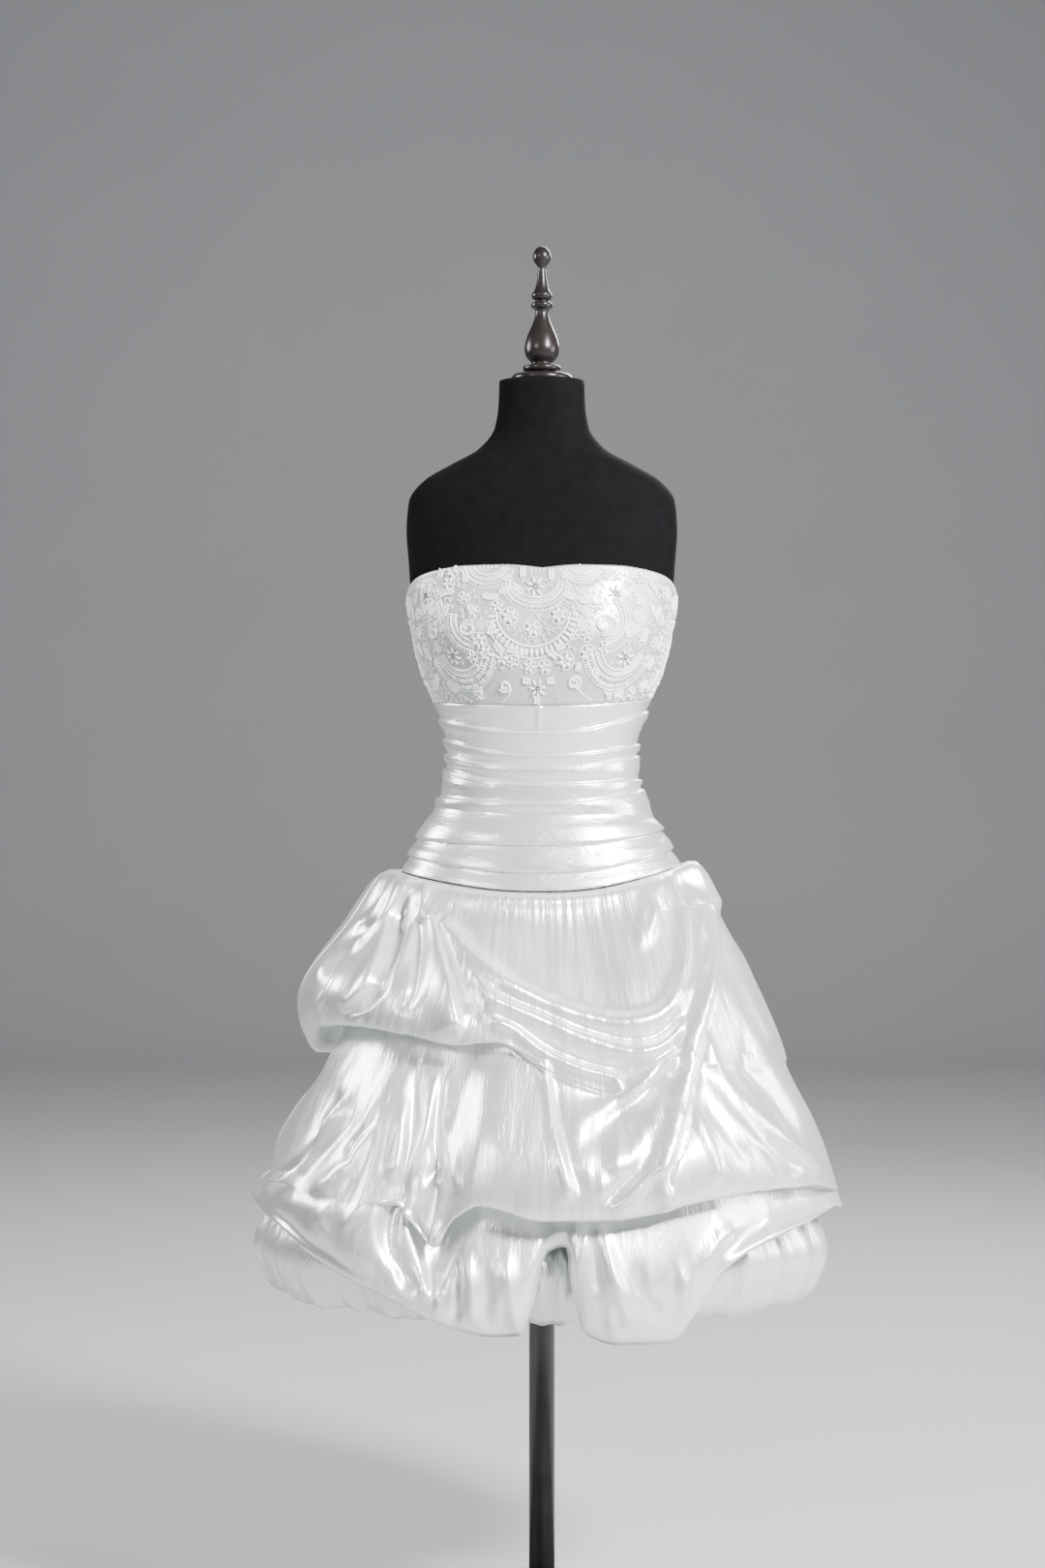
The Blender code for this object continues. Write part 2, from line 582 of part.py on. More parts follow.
def add_round_cloth(name, grid, wall, material):
    """A sheet of cloth through a ring of points, given its thickness on the inside."""
    bm = bmesh.new()
    sheet = [[bm.verts.new(point) for point in row] for row in grid]
    columns = len(grid[0])
    for upper, lower in zip(sheet, sheet[1:]):
        for j in range(columns):
            k = (j + 1) % columns
            bm.faces.new((upper[j], lower[j], lower[k], upper[k]))
    mesh = bpy.data.meshes.new(name)
    bm.to_mesh(mesh)
    bm.free()
    mesh.materials.append(material)
    obj = bpy.data.objects.new(name, mesh)
    COLLECTION.objects.link(obj)
    thick = obj.modifiers.new("Wall", "SOLIDIFY")
    thick.thickness = wall
    thick.offset = -1
    thick.use_even_offset = True
    thick.thickness_clamp = 0
    return obj


def add_solid(name, rings, material):
    """A closed solid through rings of points, with flat ends."""
    bm = bmesh.new()
    loops = [[bm.verts.new(point) for point in ring] for ring in rings]
    count = len(loops[0])
    for upper, lower in zip(loops, loops[1:]):
        for j in range(count):
            k = (j + 1) % count
            bm.faces.new((upper[j], lower[j], lower[k], upper[k]))
    for loop in (loops[0], loops[-1]):
        bm.faces.new(loop)
    return make_object(name, bm, material)


def add_turned(name, profile, steps, material):
    """A turned solid: (radius, height) rows from the top down, spun round the pole's line."""
    mesh = bpy.data.meshes.new(name)
    ends = [(0.0, profile[0][1]), *profile, (0.0, profile[-1][1])]
    corners = [(radius, 0.0, height) for radius, height in ends]
    mesh.from_pydata(corners, [(k, k + 1) for k in range(len(corners) - 1)], [])
    mesh.materials.append(material)
    obj = bpy.data.objects.new(name, mesh)
    COLLECTION.objects.link(obj)
    spin = obj.modifiers.new("Spin", "SCREW")
    spin.steps = spin.render_steps = steps
    spin.use_merge_vertices = True
    spin.merge_threshold = 0.00005
    spin.use_smooth_shade = True
    return obj


def nudge(point, step):
    """The point moved round the pole by a distance."""
    side = Vector((-point.y, point.x, 0)).normalized()
    return point + side * step


def cut_from_ring(grid, first, last, before, after):
    """Columns first to last of a ring of points, its two ends moved in to leave the gap of a seam."""
    columns = len(grid[0])
    piece = []
    for row in grid:
        line = [row[j % columns] for j in range(first, last + 1)]
        line[0] = nudge(line[0], before)
        line[-1] = nudge(line[-1], -after)
        piece.append(line)
    return piece


def skirt_grid(bearings, profile_at, steps, rise_at, seams=()):
    """The outer points of a whole ring of cloth with its folds."""
    columns = [spread_along(*profile_at(bearing), steps) for bearing in bearings]
    plain = [
        [around(bearing, *column[i][0]) for bearing, column in zip(bearings, columns)] for i in range(len(columns[0]))
    ]
    outward = ring_normals(plain, seams)
    outer = []
    for i, row in enumerate(plain):
        line = []
        for j, point in enumerate(row):
            share = columns[j][i][1]
            rise = share * rise_at(point, bearings[j]) if share else 0.0
            line.append(point + outward[i][j][0] * rise)
        outer.append(line)
    return outer


def gathers_at(point, bearing):
    return GATHER_RISE * sin(radians(bearing * UNDER_GATHERS))


def bodice_radius(bearing, height):
    return body_radius(bearing, height) + FORM_GAP


def add_bodice_piece(name, bearings, heights_at, rise_at, material):
    """A wall on the figure between the heights that heights_at gives, plain inside and raised outside."""
    outer, inner = [], []
    rows = len(heights_at(bearings[0]))
    for i in range(rows):
        outer_line, inner_line = [], []
        for bearing in bearings:
            height = heights_at(bearing)[i]
            radius = bodice_radius(bearing, height)
            inner_line.append(around(bearing, radius, height))
            outer_line.append(around(bearing, radius + BODICE_WALL + rise_at(i, bearing, height), height))
        outer.append(outer_line)
        inner.append(inner_line)
    ends = (SEAM_GAP / 2, SEAM_GAP / 2)
    outer = cut_from_ring(outer, 0, len(bearings) - 1, *ends)
    inner = cut_from_ring(inner, 0, len(bearings) - 1, *ends)
    return add_walls(name, outer, inner, material)


def bust_heights(rows):
    def heights_at(bearing):
        return spread(TOP_EDGE_AT(abs(bearing)), pleat_height(PLEATS[0], bearing) + SEAM_GAP, rows)

    return heights_at


def midriff_heights(bearing):
    """Two heights for each pleat, one on each side of its edge."""
    heights = [pleat_height(PLEATS[0], bearing)]
    for pleat in PLEATS[1:-1]:
        line = pleat_height(pleat, bearing)
        heights += [line + PLEAT_STEP / 2, line - PLEAT_STEP / 2]
    return [*heights, pleat_height(PLEATS[-1], bearing)]


def flat_by_placket(bearing):
    """0 under the strip over the closure, rising to 1 beside it."""
    return smooth_step((180 - abs(bearing) - 7) / 12)


def midriff_rise(row, bearing, height):
    """Each pleat stands out along its edge and sinks under the next one."""
    last = 2 * len(PLEATS) - 3
    if row in (0, last):
        return 0.0
    pleat = PLEATS[(row + 1) // 2]
    above_edge = row % 2 == 1
    raised = above_edge == (pleat.turn == "down")
    return PLEAT_DEPTH * flat_by_placket(bearing) if raised else 0.0004


def bust_rise(row, bearing, height):
    seen = around(bearing, bodice_radius(bearing, height), height)
    nearer = EYE_DISTANCE / (EYE_DISTANCE + seen.y)
    return LACE_RISE * lace_share(seen.x * nearer, EYE_HEIGHT + (height - EYE_HEIGHT) * nearer)


def no_rise(row, bearing, height):
    return 0.0


def material_of(name, color, roughness, coat=0.0):
    material = bpy.data.materials.new(name)
    material.use_nodes = True
    shader = material.node_tree.nodes["Principled BSDF"]
    shader.inputs["Base Color"].default_value = (*color, 1)
    shader.inputs["Roughness"].default_value = roughness
    shader.inputs["Coat Weight"].default_value = coat
    return material


for old in list(bpy.data.objects):
    bpy.data.objects.remove(old, do_unlink=True)
COLLECTION = bpy.data.collections.new("short_wedding_dress")
bpy.context.scene.collection.children.link(COLLECTION)

WHITE = (0.86, 0.86, 0.84)
BLACK = (0.012, 0.012, 0.013)

# ---------------------------------------------------------------- skirt
# Columns are closer where the cloth turns quickly.
FRONT_COLUMNS = ((-84, -32, 13), (-32, -16, 5), (-16, -4, 3), (-4, 11, 5), (11, 29, 4), (29, 39, 3), (39, 84, 10))
BACK_COLUMNS = 23
skirt_bearings = [-float(SKIRT_SIDE)]
for start, end, count in FRONT_COLUMNS:
    skirt_bearings += spread(start, end, count)[1:]
front_count = len(skirt_bearings) - 1
skirt_bearings += spread(SKIRT_SIDE, 360 - SKIRT_SIDE, BACK_COLUMNS)[1:-1]
skirt_bearings = [bearing if bearing <= 180 else bearing - 360 for bearing in skirt_bearings]
side_seams = (0, front_count)
skirt_points = skirt_grid(skirt_bearings, skirt_profile, SKIRT_STEPS, folds_at, side_seams)
skirt_inside = inner_wall(skirt_points, WALL, side_seams)
half_gap = SEAM_GAP / 2
for name, first, last in (("skirt_front", 0, front_count), ("skirt_back", front_count, len(skirt_bearings))):
    outer = cut_from_ring(skirt_points, first, last, half_gap, half_gap)
    inner = cut_from_ring(skirt_inside, first, last, half_gap, half_gap)
    add_walls(name, outer, inner, material_of(name + "_satin", WHITE, 0.32))

under_bearings = spread(-180, 180, 3 * UNDER_GATHERS)[:-1]
under_points = skirt_grid(under_bearings, under_profile, UNDER_STEPS, gathers_at)
add_round_cloth("underskirt", under_points, WALL, material_of("underskirt_satin", WHITE, 0.36))

# ---------------------------------------------------------------- bodice
front_bearings = spread(-BODICE_SIDE, BODICE_SIDE, 44)
add_bodice_piece("bust_front", front_bearings, bust_heights(BUST_FRONT_ROWS), bust_rise, material_of("front_lace", WHITE, 0.45))
midriff_bearings = spread(-BODICE_SIDE, BODICE_SIDE, 22)
satin = material_of("midriff_satin", WHITE, 0.28)
add_bodice_piece("midriff_front", midriff_bearings, midriff_heights, midriff_rise, satin)
for side, start, end in (("right", BODICE_SIDE, 180), ("left", -180, -BODICE_SIDE)):
    lace = material_of("back_lace_" + side, WHITE, 0.45)
    add_bodice_piece("bust_back_" + side, spread(start, end, 8), bust_heights(BUST_BACK_ROWS), no_rise, lace)
    satin = material_of("midriff_back_satin_" + side, WHITE, 0.28)
    add_bodice_piece("midriff_back_" + side, spread(start, end, 8), midriff_heights, midriff_rise, satin)

# ---------------------------------------------------------------- strip over the centre-back closure
placket_outer, placket_inner = [], []
for height in bust_heights(BUST_BACK_ROWS)(180) + midriff_heights(180)[1:]:
    back = bodice_radius(180, height) + BODICE_WALL + 0.0004 + SEAM_GAP
    across = spread(PLACKET_HALF, -PLACKET_HALF, 2)
    placket_inner.append([Vector((x, back, height)) for x in across])
    placket_outer.append([Vector((x, back + 0.0014, height)) for x in across])
add_walls("back_placket", placket_outer, placket_inner, material_of("placket_satin", WHITE, 0.30))

# ---------------------------------------------------------------- dress form
FORM_STEPS = 28
form_bearings = [bearing if bearing <= 180 else bearing - 360 for bearing in spread(0, 360, FORM_STEPS)[:-1]]
form_heights = [BODY[-1].height]
for lower, upper in zip(BODY[-2::-1], BODY[:0:-1]):
    form_heights += spread(upper.height, lower.height, 2 if upper.height - lower.height > 0.043 else 1)[1:]
rings = [[around(b, body_radius(b, z) - FORM_SLIM, z) for b in form_bearings] for z in form_heights]
add_solid("form_torso", rings, material_of("form_cover", BLACK, 0.55))

FINIAL = (
    (0.0030, 1.6960),
    (0.0080, 1.6930),
    (0.0112, 1.6840),
    (0.0088, 1.6750),
    (0.0052, 1.6700),
    (0.0062, 1.6580),
    (0.0085, 1.6450),
    (0.0120, 1.6375),
    (0.0120, 1.6330),
    (0.0078, 1.6292),
    (0.0125, 1.6250),
    (0.0125, 1.6200),
    (0.0085, 1.6140),
    (0.0115, 1.6030),
    (0.0175, 1.5890),
    (0.0212, 1.5740),
    (0.0200, 1.5600),
    (0.0135, 1.5510),
    (0.0230, 1.5470),
    (0.0230, 1.5420),
    (0.0180, 1.5385),
    (0.0350, 1.5365),
    (0.0375, 1.5325),
    (0.0360, 1.5283),
)
add_turned("form_finial", FINIAL, 18, material_of("finial_lacquer", BLACK, 0.15, 0.6))

POLE = ((0.045, 0.7997), (0.045, 0.7900), (0.016, 0.7850), (0.016, 0.0463))
add_turned("stand_pole", POLE, 16, material_of("pole_enamel", BLACK, 0.30))
BASE = (
    (0.024, 0.0460),
    (0.028, 0.0430),
    (0.029, 0.0200),
    (0.040, 0.0150),
    (0.170, 0.0115),
    (0.178, 0.0085),
    (0.180, 0.0040),
    (0.178, 0.0000),
)
add_turned("stand_base", BASE, 32, material_of("base_enamel", BLACK, 0.30))
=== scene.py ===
# %% [markdown]
# # A short wedding dress on a dress form
# The dress is white satin: a strapless bust covered with corded lace, a midriff laid in pleats, and a
# skirt that is picked up at both hips, so that it falls in poufs over a puffed underskirt. It stands on a
# black dress form.
#
# Everything is in metres with +Z up. The dress faces -Y and +X is on the viewer's right. A bearing is an
# angle round the pole in degrees: 0 is the centre front, 90 the viewer's right and 180 the centre back.

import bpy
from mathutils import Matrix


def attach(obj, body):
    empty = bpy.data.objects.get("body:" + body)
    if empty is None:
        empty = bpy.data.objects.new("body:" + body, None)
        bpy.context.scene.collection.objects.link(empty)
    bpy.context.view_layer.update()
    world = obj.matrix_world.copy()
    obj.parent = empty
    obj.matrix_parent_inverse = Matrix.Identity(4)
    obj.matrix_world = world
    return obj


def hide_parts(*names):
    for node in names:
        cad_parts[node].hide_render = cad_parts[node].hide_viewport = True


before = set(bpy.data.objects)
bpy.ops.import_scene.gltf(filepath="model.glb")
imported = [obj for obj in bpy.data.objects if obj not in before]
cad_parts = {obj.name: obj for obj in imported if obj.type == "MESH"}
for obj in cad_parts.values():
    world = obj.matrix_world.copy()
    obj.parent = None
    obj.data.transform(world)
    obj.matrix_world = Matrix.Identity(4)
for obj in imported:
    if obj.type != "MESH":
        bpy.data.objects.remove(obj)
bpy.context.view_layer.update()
print("solids:", sorted(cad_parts))

# %% Tools of this lesson
from math import atan2, ceil, cos, degrees, pi, radians, sin

import bmesh
import bpy
import numpy as np
from mathutils import Matrix, Vector, noise

MM = 0.001

# %% [markdown]
# ## Camera and studio
# The camera stands 3.5 m in front of the pole and looks level at the waist, as a photographer's would.
# The floor runs up into the wall in one bend, so that no edge shows behind the white cloth. One strong
# lamp stands high in front on the right and models the folds. A far weaker one on the left keeps the
# shaded side soft, a lamp at either side and one behind draw the outline, and the last one lights the
# wall.

# %% Camera
EYE_DISTANCE, EYE_HEIGHT, EYE_ACROSS = 3.5, 1.03, -0.024
PICTURE_HEIGHT = 1.944  # what the picture shows from top to bottom, at the pole
SENSOR_MM = 36

camera = bpy.data.cameras.new("camera")
camera.sensor_fit = "VERTICAL"
camera.sensor_height = SENSOR_MM
camera.lens = SENSOR_MM * EYE_DISTANCE / PICTURE_HEIGHT
eye = bpy.data.objects.new("camera", camera)
eye.location = (EYE_ACROSS, -EYE_DISTANCE, EYE_HEIGHT)
eye.rotation_euler = (radians(90), 0, 0)
bpy.context.scene.collection.objects.link(eye)
bpy.context.scene.camera = eye
print("lens", round(camera.lens, 1), "mm")


# %% Lamps
SKIRT_TOP, WALL_FOOT = (0, 0, 0.85), (0, 6.5, 0.4)


def lamp(name, place, size, power, aim=SKIRT_TOP):
    """A square lamp of this size and power in watts, turned towards its aim."""
    light = bpy.data.lights.new(name, "AREA")
    light.size = size
    light.energy = power
    obj = bpy.data.objects.new(name, light)
    obj.location = place
    obj.rotation_euler = (Vector(aim) - Vector(place)).to_track_quat("-Z", "Y").to_euler()
    bpy.context.scene.collection.objects.link(obj)
    return obj


lamps = [
    lamp("key", (2.1, -2.4, 2.8), 0.8, 690),
    lamp("fill", (-2.2, -3.0, 2.4), 0.9, 55),
    lamp("rim_left", (-2.0, 0.3, 1.9), 0.9, 60),
    lamp("rim_right", (2.9, -0.6, 1.5), 1.1, 75),
    lamp("back_light", (0.8, 2.6, 2.8), 1.4, 110),
    lamp("wall_light", (0, 3.0, 4.6), 2.5, 160, aim=WALL_FOOT),
]
world = bpy.data.worlds.new("studio")
bpy.context.scene.world = world
world.use_nodes = True
background = world.node_tree.nodes["Background"]
background.inputs["Color"].default_value = (0.80, 0.83, 0.86, 1)
background.inputs["Strength"].default_value = 0.09
print("lamps:", *(light.name for light in lamps))

# %% [markdown]
# ## Writing materials as sums
# A material is a network of nodes. This small class wraps one output of a node, so that `mask * 0.3 +
# 0.2` adds the Math nodes by itself and a finish reads like the sum that it is.


# %% A socket that can be added and multiplied
class Wire:
    def __init__(self, tree, socket):
        self.tree = tree
        self.socket = socket

    def node(self, kind, settings=(), **values):
        """A node of this kind. Its settings are set first, then its sockets take values or wires."""
        made = self.tree.nodes.new(kind)
        for name, value in dict(settings).items():
            setattr(made, name, value)
        for name, value in values.items():
            key = int(name[1:]) if name[1:].isdigit() else name.replace("_", " ")
            socket = made.inputs[key]
            if isinstance(value, Wire):
                self.tree.links.new(value.socket, socket)
            else:
                socket.default_value = value
        return made

    def maths(self, operation, *values):
        """A Math node with these values or wires on its sockets, in order."""
        sockets = {f"_{i}": value for i, value in enumerate(values)}
        made = self.node("ShaderNodeMath", {"operation": operation}, **sockets)
        return Wire(self.tree, made.outputs[0])

    def __add__(self, other):
        return self.maths("ADD", self, other)

    __radd__ = __add__

    def __mul__(self, other):
        return self.maths("MULTIPLY", self, other)

    __rmul__ = __mul__

    def __sub__(self, other):
        return self.maths("SUBTRACT", self, other)

    def __rsub__(self, other):
        return self.maths("SUBTRACT", other, self)

    def between(self, low, high):
        """0 below low, 1 above high and smooth between them."""
        settings = {"interpolation_type": "SMOOTHSTEP"}
        made = self.node("ShaderNodeMapRange", settings, Value=self, From_Min=low, From_Max=high)
        return Wire(self.tree, made.outputs[0])


# %% Starting a finish
def start_finish(name, color, roughness, **shader_values):
    """A new material, its shader, and the wire of a point's place in metres."""
    finish = bpy.data.materials.new(name)
    finish.use_nodes = True
    shader = finish.node_tree.nodes["Principled BSDF"]
    shader.inputs["Base Color"].default_value = (*color, 1)
    shader.inputs["Roughness"].default_value = roughness
    for socket, value in shader_values.items():
        shader.inputs[socket.replace("_", " ")].default_value = value
    start = Wire(finish.node_tree, None)
    place = Wire(finish.node_tree, start.node("ShaderNodeTexCoord").outputs["Object"])
    return finish, shader, place


def stretched(place, along, turn=(0, 0, 0)):
    """The place scaled along each axis, which stretches a pattern the other way."""
    made = place.node("ShaderNodeMapping", Vector=place, Scale=along, Rotation=turn)
    return Wire(place.tree, made.outputs[0])


def grain(place, scale, detail=2, roughness=0.5, distortion=0):
    """Soft noise from 0 to 1."""
    made = place.node("ShaderNodeTexNoise", Vector=place, Scale=scale, Detail=detail, Roughness=roughness,
                      Distortion=distortion)
    return Wire(place.tree, made.outputs[0])


def threads(place, direction, per_metre, distortion=0):
    """Straight ribs, as of threads lying side by side."""
    settings = {"wave_type": "BANDS", "bands_direction": direction}
    made = place.node("ShaderNodeTexWave", settings, Vector=place, Scale=per_metre / 20 * pi,
                      Distortion=distortion)
    return Wire(place.tree, made.outputs["Fac"])


def raise_by(shader, height, millimetres, base=None):
    """Bumps the surface by a height wire that runs from 0 to 1."""
    values = {"Height": height, "Distance": millimetres * MM, "Strength": 1.0}
    if base is not None:
        values["Normal"] = base
    bump = height.node("ShaderNodeBump", **values)
    height.tree.links.new(bump.outputs[0], shader.inputs["Normal"])
    return Wire(height.tree, bump.outputs[0])


def tint(shader, mask, dark, light):
    """Colours a surface from dark to light by a mask."""
    made = mask.node("ShaderNodeMix", {"data_type": "RGBA"}, Factor=mask)
    made.inputs[6].default_value = (*dark, 1)
    made.inputs[7].default_value = (*light, 1)
    mask.tree.links.new(made.outputs[2], shader.inputs["Base Color"])


# %% [markdown]
# ## Satin
# Satin floats its warp threads over the weft, so it shines along them in broad soft lights. The stiff
# bridal kind also keeps small crinkles, which break those lights into streaks. The finish is white and
# rather metallic, which darkens what faces away from the lamps as floated threads do. On the bust it is
# painted grey instead, as painted shade in the gaps between the lace. Three layers of bump lie on it:
# crinkles that fan out from above with the fall of the cloth, sharp little creases, and far finer threads.


# %% The satin finish
FAN_HEIGHT = 1.35  # the skirt's crinkles fan out from a point at this height
SATIN_WHITE = (0.80, 0.82, 0.805)


def fanned(place, above):
    """Coordinates in which lines that fan out from a point above run straight down."""
    x, y, z = (Wire(place.tree, s) for s in place.node("ShaderNodeSeparateXYZ", Vector=place).outputs)
    turn = x.maths("DIVIDE", x, above - z)
    made = place.node("ShaderNodeCombineXYZ", X=turn, Y=y, Z=z)
    return Wire(place.tree, made.outputs[0])


def satin(name, crinkle_mm, per_metre, roughness=0.31, metal=0.68, color=SATIN_WHITE, above=None):
    """Satin with crinkles so high, and about so many to the metre along each axis."""
    finish, shader, place = start_finish(name, color, roughness, Metallic=metal, Specular_IOR_Level=0.5)
    laid = fanned(place, above) if above else place
    crinkle = grain(stretched(laid, per_metre), 1.0, distortion=0.5)
    closer = tuple(2.3 * count for count in per_metre)
    sharp = grain(stretched(laid, closer), 1.0, detail=3, roughness=0.6, distortion=0.9) - 0.5
    lines = sharp.maths("ABSOLUTE", sharp).between(0.0, 0.16)
    bumps = raise_by(shader, crinkle, crinkle_mm)
    bumps = raise_by(shader, lines, crinkle_mm * 0.10, bumps)
    fine = grain(stretched(place, (900, 900, 220)), 1.0)
    raise_by(shader, fine, 0.02, bumps)
    uneven = grain(place, 30, detail=3)
    place.tree.links.new((uneven * 0.10 + (roughness - 0.05)).socket, shader.inputs["Roughness"])
    tint(shader, uneven.between(0.3, 0.7), tuple(c * 0.97 for c in color), color)
    return finish


skirt_satin = satin("skirt_satin", 1.5, (34, 9, 7), above=FAN_HEIGHT)
under_satin = satin("underskirt_satin", 2.6, (40, 14, 8), roughness=0.33, above=FAN_HEIGHT)
midriff_satin = satin("midriff_satin", 2.4, (8, 8, 26), roughness=0.29)
# The bust's satin is the same white satin, painted dark grey as painted shade in the gaps between the lace.
bust_satin_painted_shade = satin("bust_satin_painted_shade", 0.5, (26, 26, 30), roughness=0.36, metal=0.40, color=(0.47, 0.49, 0.48))
print("satins:", skirt_satin.name, under_satin.name, midriff_satin.name, bust_satin_painted_shade.name)

# %% [markdown]
# ## Sheets through numbers
# Cloth is easiest to describe by a rule: for a bearing and a height, how far out does it lie? A flat grid
# gives the mesh, and each of its corners is then moved to where the rule puts it. Tables hold the sizes,
# and a smooth line runs through each of their columns.


# %% A smooth line through a column of a table
def smooth_line(places, values, period=None):
    """A function that runs smoothly through the values and never swings past them."""
    order = np.argsort(places)
    x, y = np.array(places, float)[order], np.array(values, float)[order]
    if period:
        x = np.concatenate([x[-2:] - period, x, x[:2] + period])
        y = np.concatenate([y[-2:], y, y[:2]])
    rise = np.diff(y) / np.diff(x)
    slope = np.concatenate([rise[:1], np.zeros(len(y) - 2), rise[-1:]])
    same = rise[:-1] * rise[1:] > 0
    slope[1:-1][same] = (2 * rise[:-1] * rise[1:])[same] / (rise[:-1] + rise[1:])[same]
    first = x[2] if period else x[0]

    def line(at):
        at = np.asarray(at, float)
        if period:
            at = (at - first) % period + first
        at = np.clip(at, x[0], x[-1])
        i = np.clip(np.searchsorted(x, at) - 1, 0, len(x) - 2)
        step = x[i + 1] - x[i]
        t = (at - x[i]) / step
        a, b, p, q = y[i], y[i + 1], slope[i] * step, slope[i + 1] * step
        return a + t * (p + t * (3 * (b - a) - 2 * p - q + t * (2 * (a - b) + p + q)))

    return line


def lines_of(columns, rows, period=None):
    """One smooth line for each named column after the first."""
    names = columns.split()
    places = [row[0] for row in rows]
    return {name: smooth_line(places, [row[k] for row in rows], period) for k, name in enumerate(names) if k}


def mix(a, b, share):
    return a + (b - a) * share


def smooth_step(x):
    """0 up to 0, 1 from 1 on and smooth between them."""
    x = np.clip(x, 0.0, 1.0)
    return x * x * (3 - 2 * x)


def around(bearing, radius, height):
    """Points round the pole, as an array with x, y and z last."""
    a = np.radians(bearing)
    return np.stack(np.broadcast_arrays(radius * np.sin(a), -radius * np.cos(a), height), axis=-1)


# %% A mesh from a grid of places
MERGE = 1e-6  # corners closer than this become one


def flat_grid(places):
    """A flat grid, 2 across and 2 high, with as many corners as there are places."""
    rows, columns = places.shape[:2]
    bm = bmesh.new()
    bmesh.ops.create_grid(bm, x_segments=columns - 1, y_segments=rows - 1, size=1)
    return bm


def move_to(bm, places):
    """Moves a flat grid's corners. Rows run down and columns to the right, as seen from outside."""
    rows, columns = places.shape[:2]
    for corner in bm.verts:
        column = round((corner.co.x + 1) / 2 * (columns - 1))
        row = round((1 - corner.co.y) / 2 * (rows - 1))
        corner.co = places[row, column]


def smooth(bm):
    for face in bm.faces:
        face.smooth = True


def cloth_grid(name, places, wall, closed=False):
    """A sheet with a corner at each place and a cloth map as large as the sheet."""
    rows, columns = places.shape[:2]
    bm = flat_grid(places)
    sheet_map = bm.loops.layers.uv.new("cloth")
    width = np.linalg.norm(np.diff(places, axis=1), axis=2).mean() * (columns - 1)
    drop = np.linalg.norm(np.diff(places, axis=0), axis=2).mean() * (rows - 1)
    for face in bm.faces:
        for loop in face.loops:
            loop[sheet_map].uv = (loop.vert.co.x / 2 * width, loop.vert.co.y / 2 * drop)
    move_to(bm, places)
    if closed:
        bmesh.ops.remove_doubles(bm, verts=bm.verts, dist=MERGE)
    smooth(bm)
    return finish_mesh(name, bm, wall)


def finish_mesh(name, bm, wall=0.0):
    """An object from a bmesh. A sheet is given its wall on the inside."""
    mesh = bpy.data.meshes.new(name)
    bm.to_mesh(mesh)
    bm.free()
    obj = bpy.data.objects.new(name, mesh)
    bpy.context.scene.collection.objects.link(obj)
    if wall:
        thick = obj.modifiers.new("wall", "SOLIDIFY")
        thick.thickness = wall
        thick.offset = -1
        thick.use_even_offset = False
    return obj


def grid_normals(places):
    """The outward normal at each place of a grid."""
    right = np.gradient(places, axis=1)
    down = np.gradient(places, axis=0)
    normal = np.cross(down, right)
    return normal / np.maximum(np.linalg.norm(normal, axis=2, keepdims=True), 1e-12)


def cloth_area(places):
    """The area of the sheet, two triangles for each square."""
    a, b, c, d = places[:-1, :-1], places[1:, :-1], places[1:, 1:], places[:-1, 1:]
    halves = np.linalg.norm(np.cross(b - a, c - a), axis=2) + np.linalg.norm(np.cross(c - a, d - a), axis=2)
    return float(halves.sum() / 2)


# %% [markdown]
# ## The figure
# A dress form has the smooth, general shape of a tailor's measurements: so wide and so deep at each
# height. Two shallow swells give the bust its fullness. Bodice and form are both worked out from this one
# figure, so the cloth always lies just off the form.

# %% Widths and depths of the figure by height
WALL, BODICE_WALL, FIGURE_GAP, FORM_SLIM = 0.0020, 0.0022, 0.0015, 0.0012
BODY = lines_of("height half_width front back", (
    (0.800, 0.176, 0.112, 0.126), (0.830, 0.178, 0.114, 0.128), (0.880, 0.174, 0.113, 0.128),
    (0.930, 0.163, 0.109, 0.120), (0.964, 0.149, 0.104, 0.109), (1.000, 0.129, 0.096, 0.097),
    (1.030, 0.117, 0.090, 0.089), (1.060, 0.113, 0.087, 0.084), (1.090, 0.115, 0.090, 0.085),
    (1.128, 0.128, 0.103, 0.091), (1.170, 0.145, 0.118, 0.097), (1.215, 0.156, 0.124, 0.102),
    (1.260, 0.163, 0.118, 0.106), (1.300, 0.166, 0.109, 0.108), (1.345, 0.169, 0.100, 0.108),
    (1.380, 0.166, 0.090, 0.105), (1.403, 0.150, 0.080, 0.099), (1.424, 0.116, 0.068, 0.090),
    (1.444, 0.080, 0.058, 0.076), (1.470, 0.060, 0.053, 0.062), (1.500, 0.055, 0.052, 0.057),
    (1.528, 0.054, 0.052, 0.055),
))
WAIST_HEIGHT = 1.060
SQUARENESS = 2.3
BUST_BEARING, BUST_HEIGHT, BUST_FULLNESS = 30, 1.205, 0.009
BUST_SPREAD, BUST_RISE = 24, 0.042  # how far a swell reaches, in degrees round and in metres up


def signed(bearing):
    """The same bearing between -180 and 180."""
    return (np.asarray(bearing, float) + 180) % 360 - 180


def body_radius(bearing, height):
    """How far the figure reaches from the pole."""
    side, ahead = np.abs(np.sin(np.radians(bearing))), np.cos(np.radians(bearing))
    deep = np.where(ahead > 0, BODY["front"](height), BODY["back"](height))
    n = SQUARENESS
    reach = ((side / BODY["half_width"](height)) ** n + (np.abs(ahead) / deep) ** n) ** (-1 / n)
    off_centre = (np.abs(signed(bearing)) - BUST_BEARING) / BUST_SPREAD
    off_height = (height - BUST_HEIGHT) / BUST_RISE
    return reach + BUST_FULLNESS * np.exp(-off_centre**2 - off_height**2)


print("waist", round(float(2 * BODY["half_width"](WAIST_HEIGHT)) / MM), "mm wide")

# %% [markdown]
# ## Dress form and stand
# The form is a padded body under black jersey, closed at the neck and carried by an enamelled pole on a
# weighted base. On its neck stands a turned finial. The torso is a grid wrapped round the figure. Finial,
# pole and base are turned on a lathe in real life, so here their outlines are spun round the pole with
# bmesh's spin.

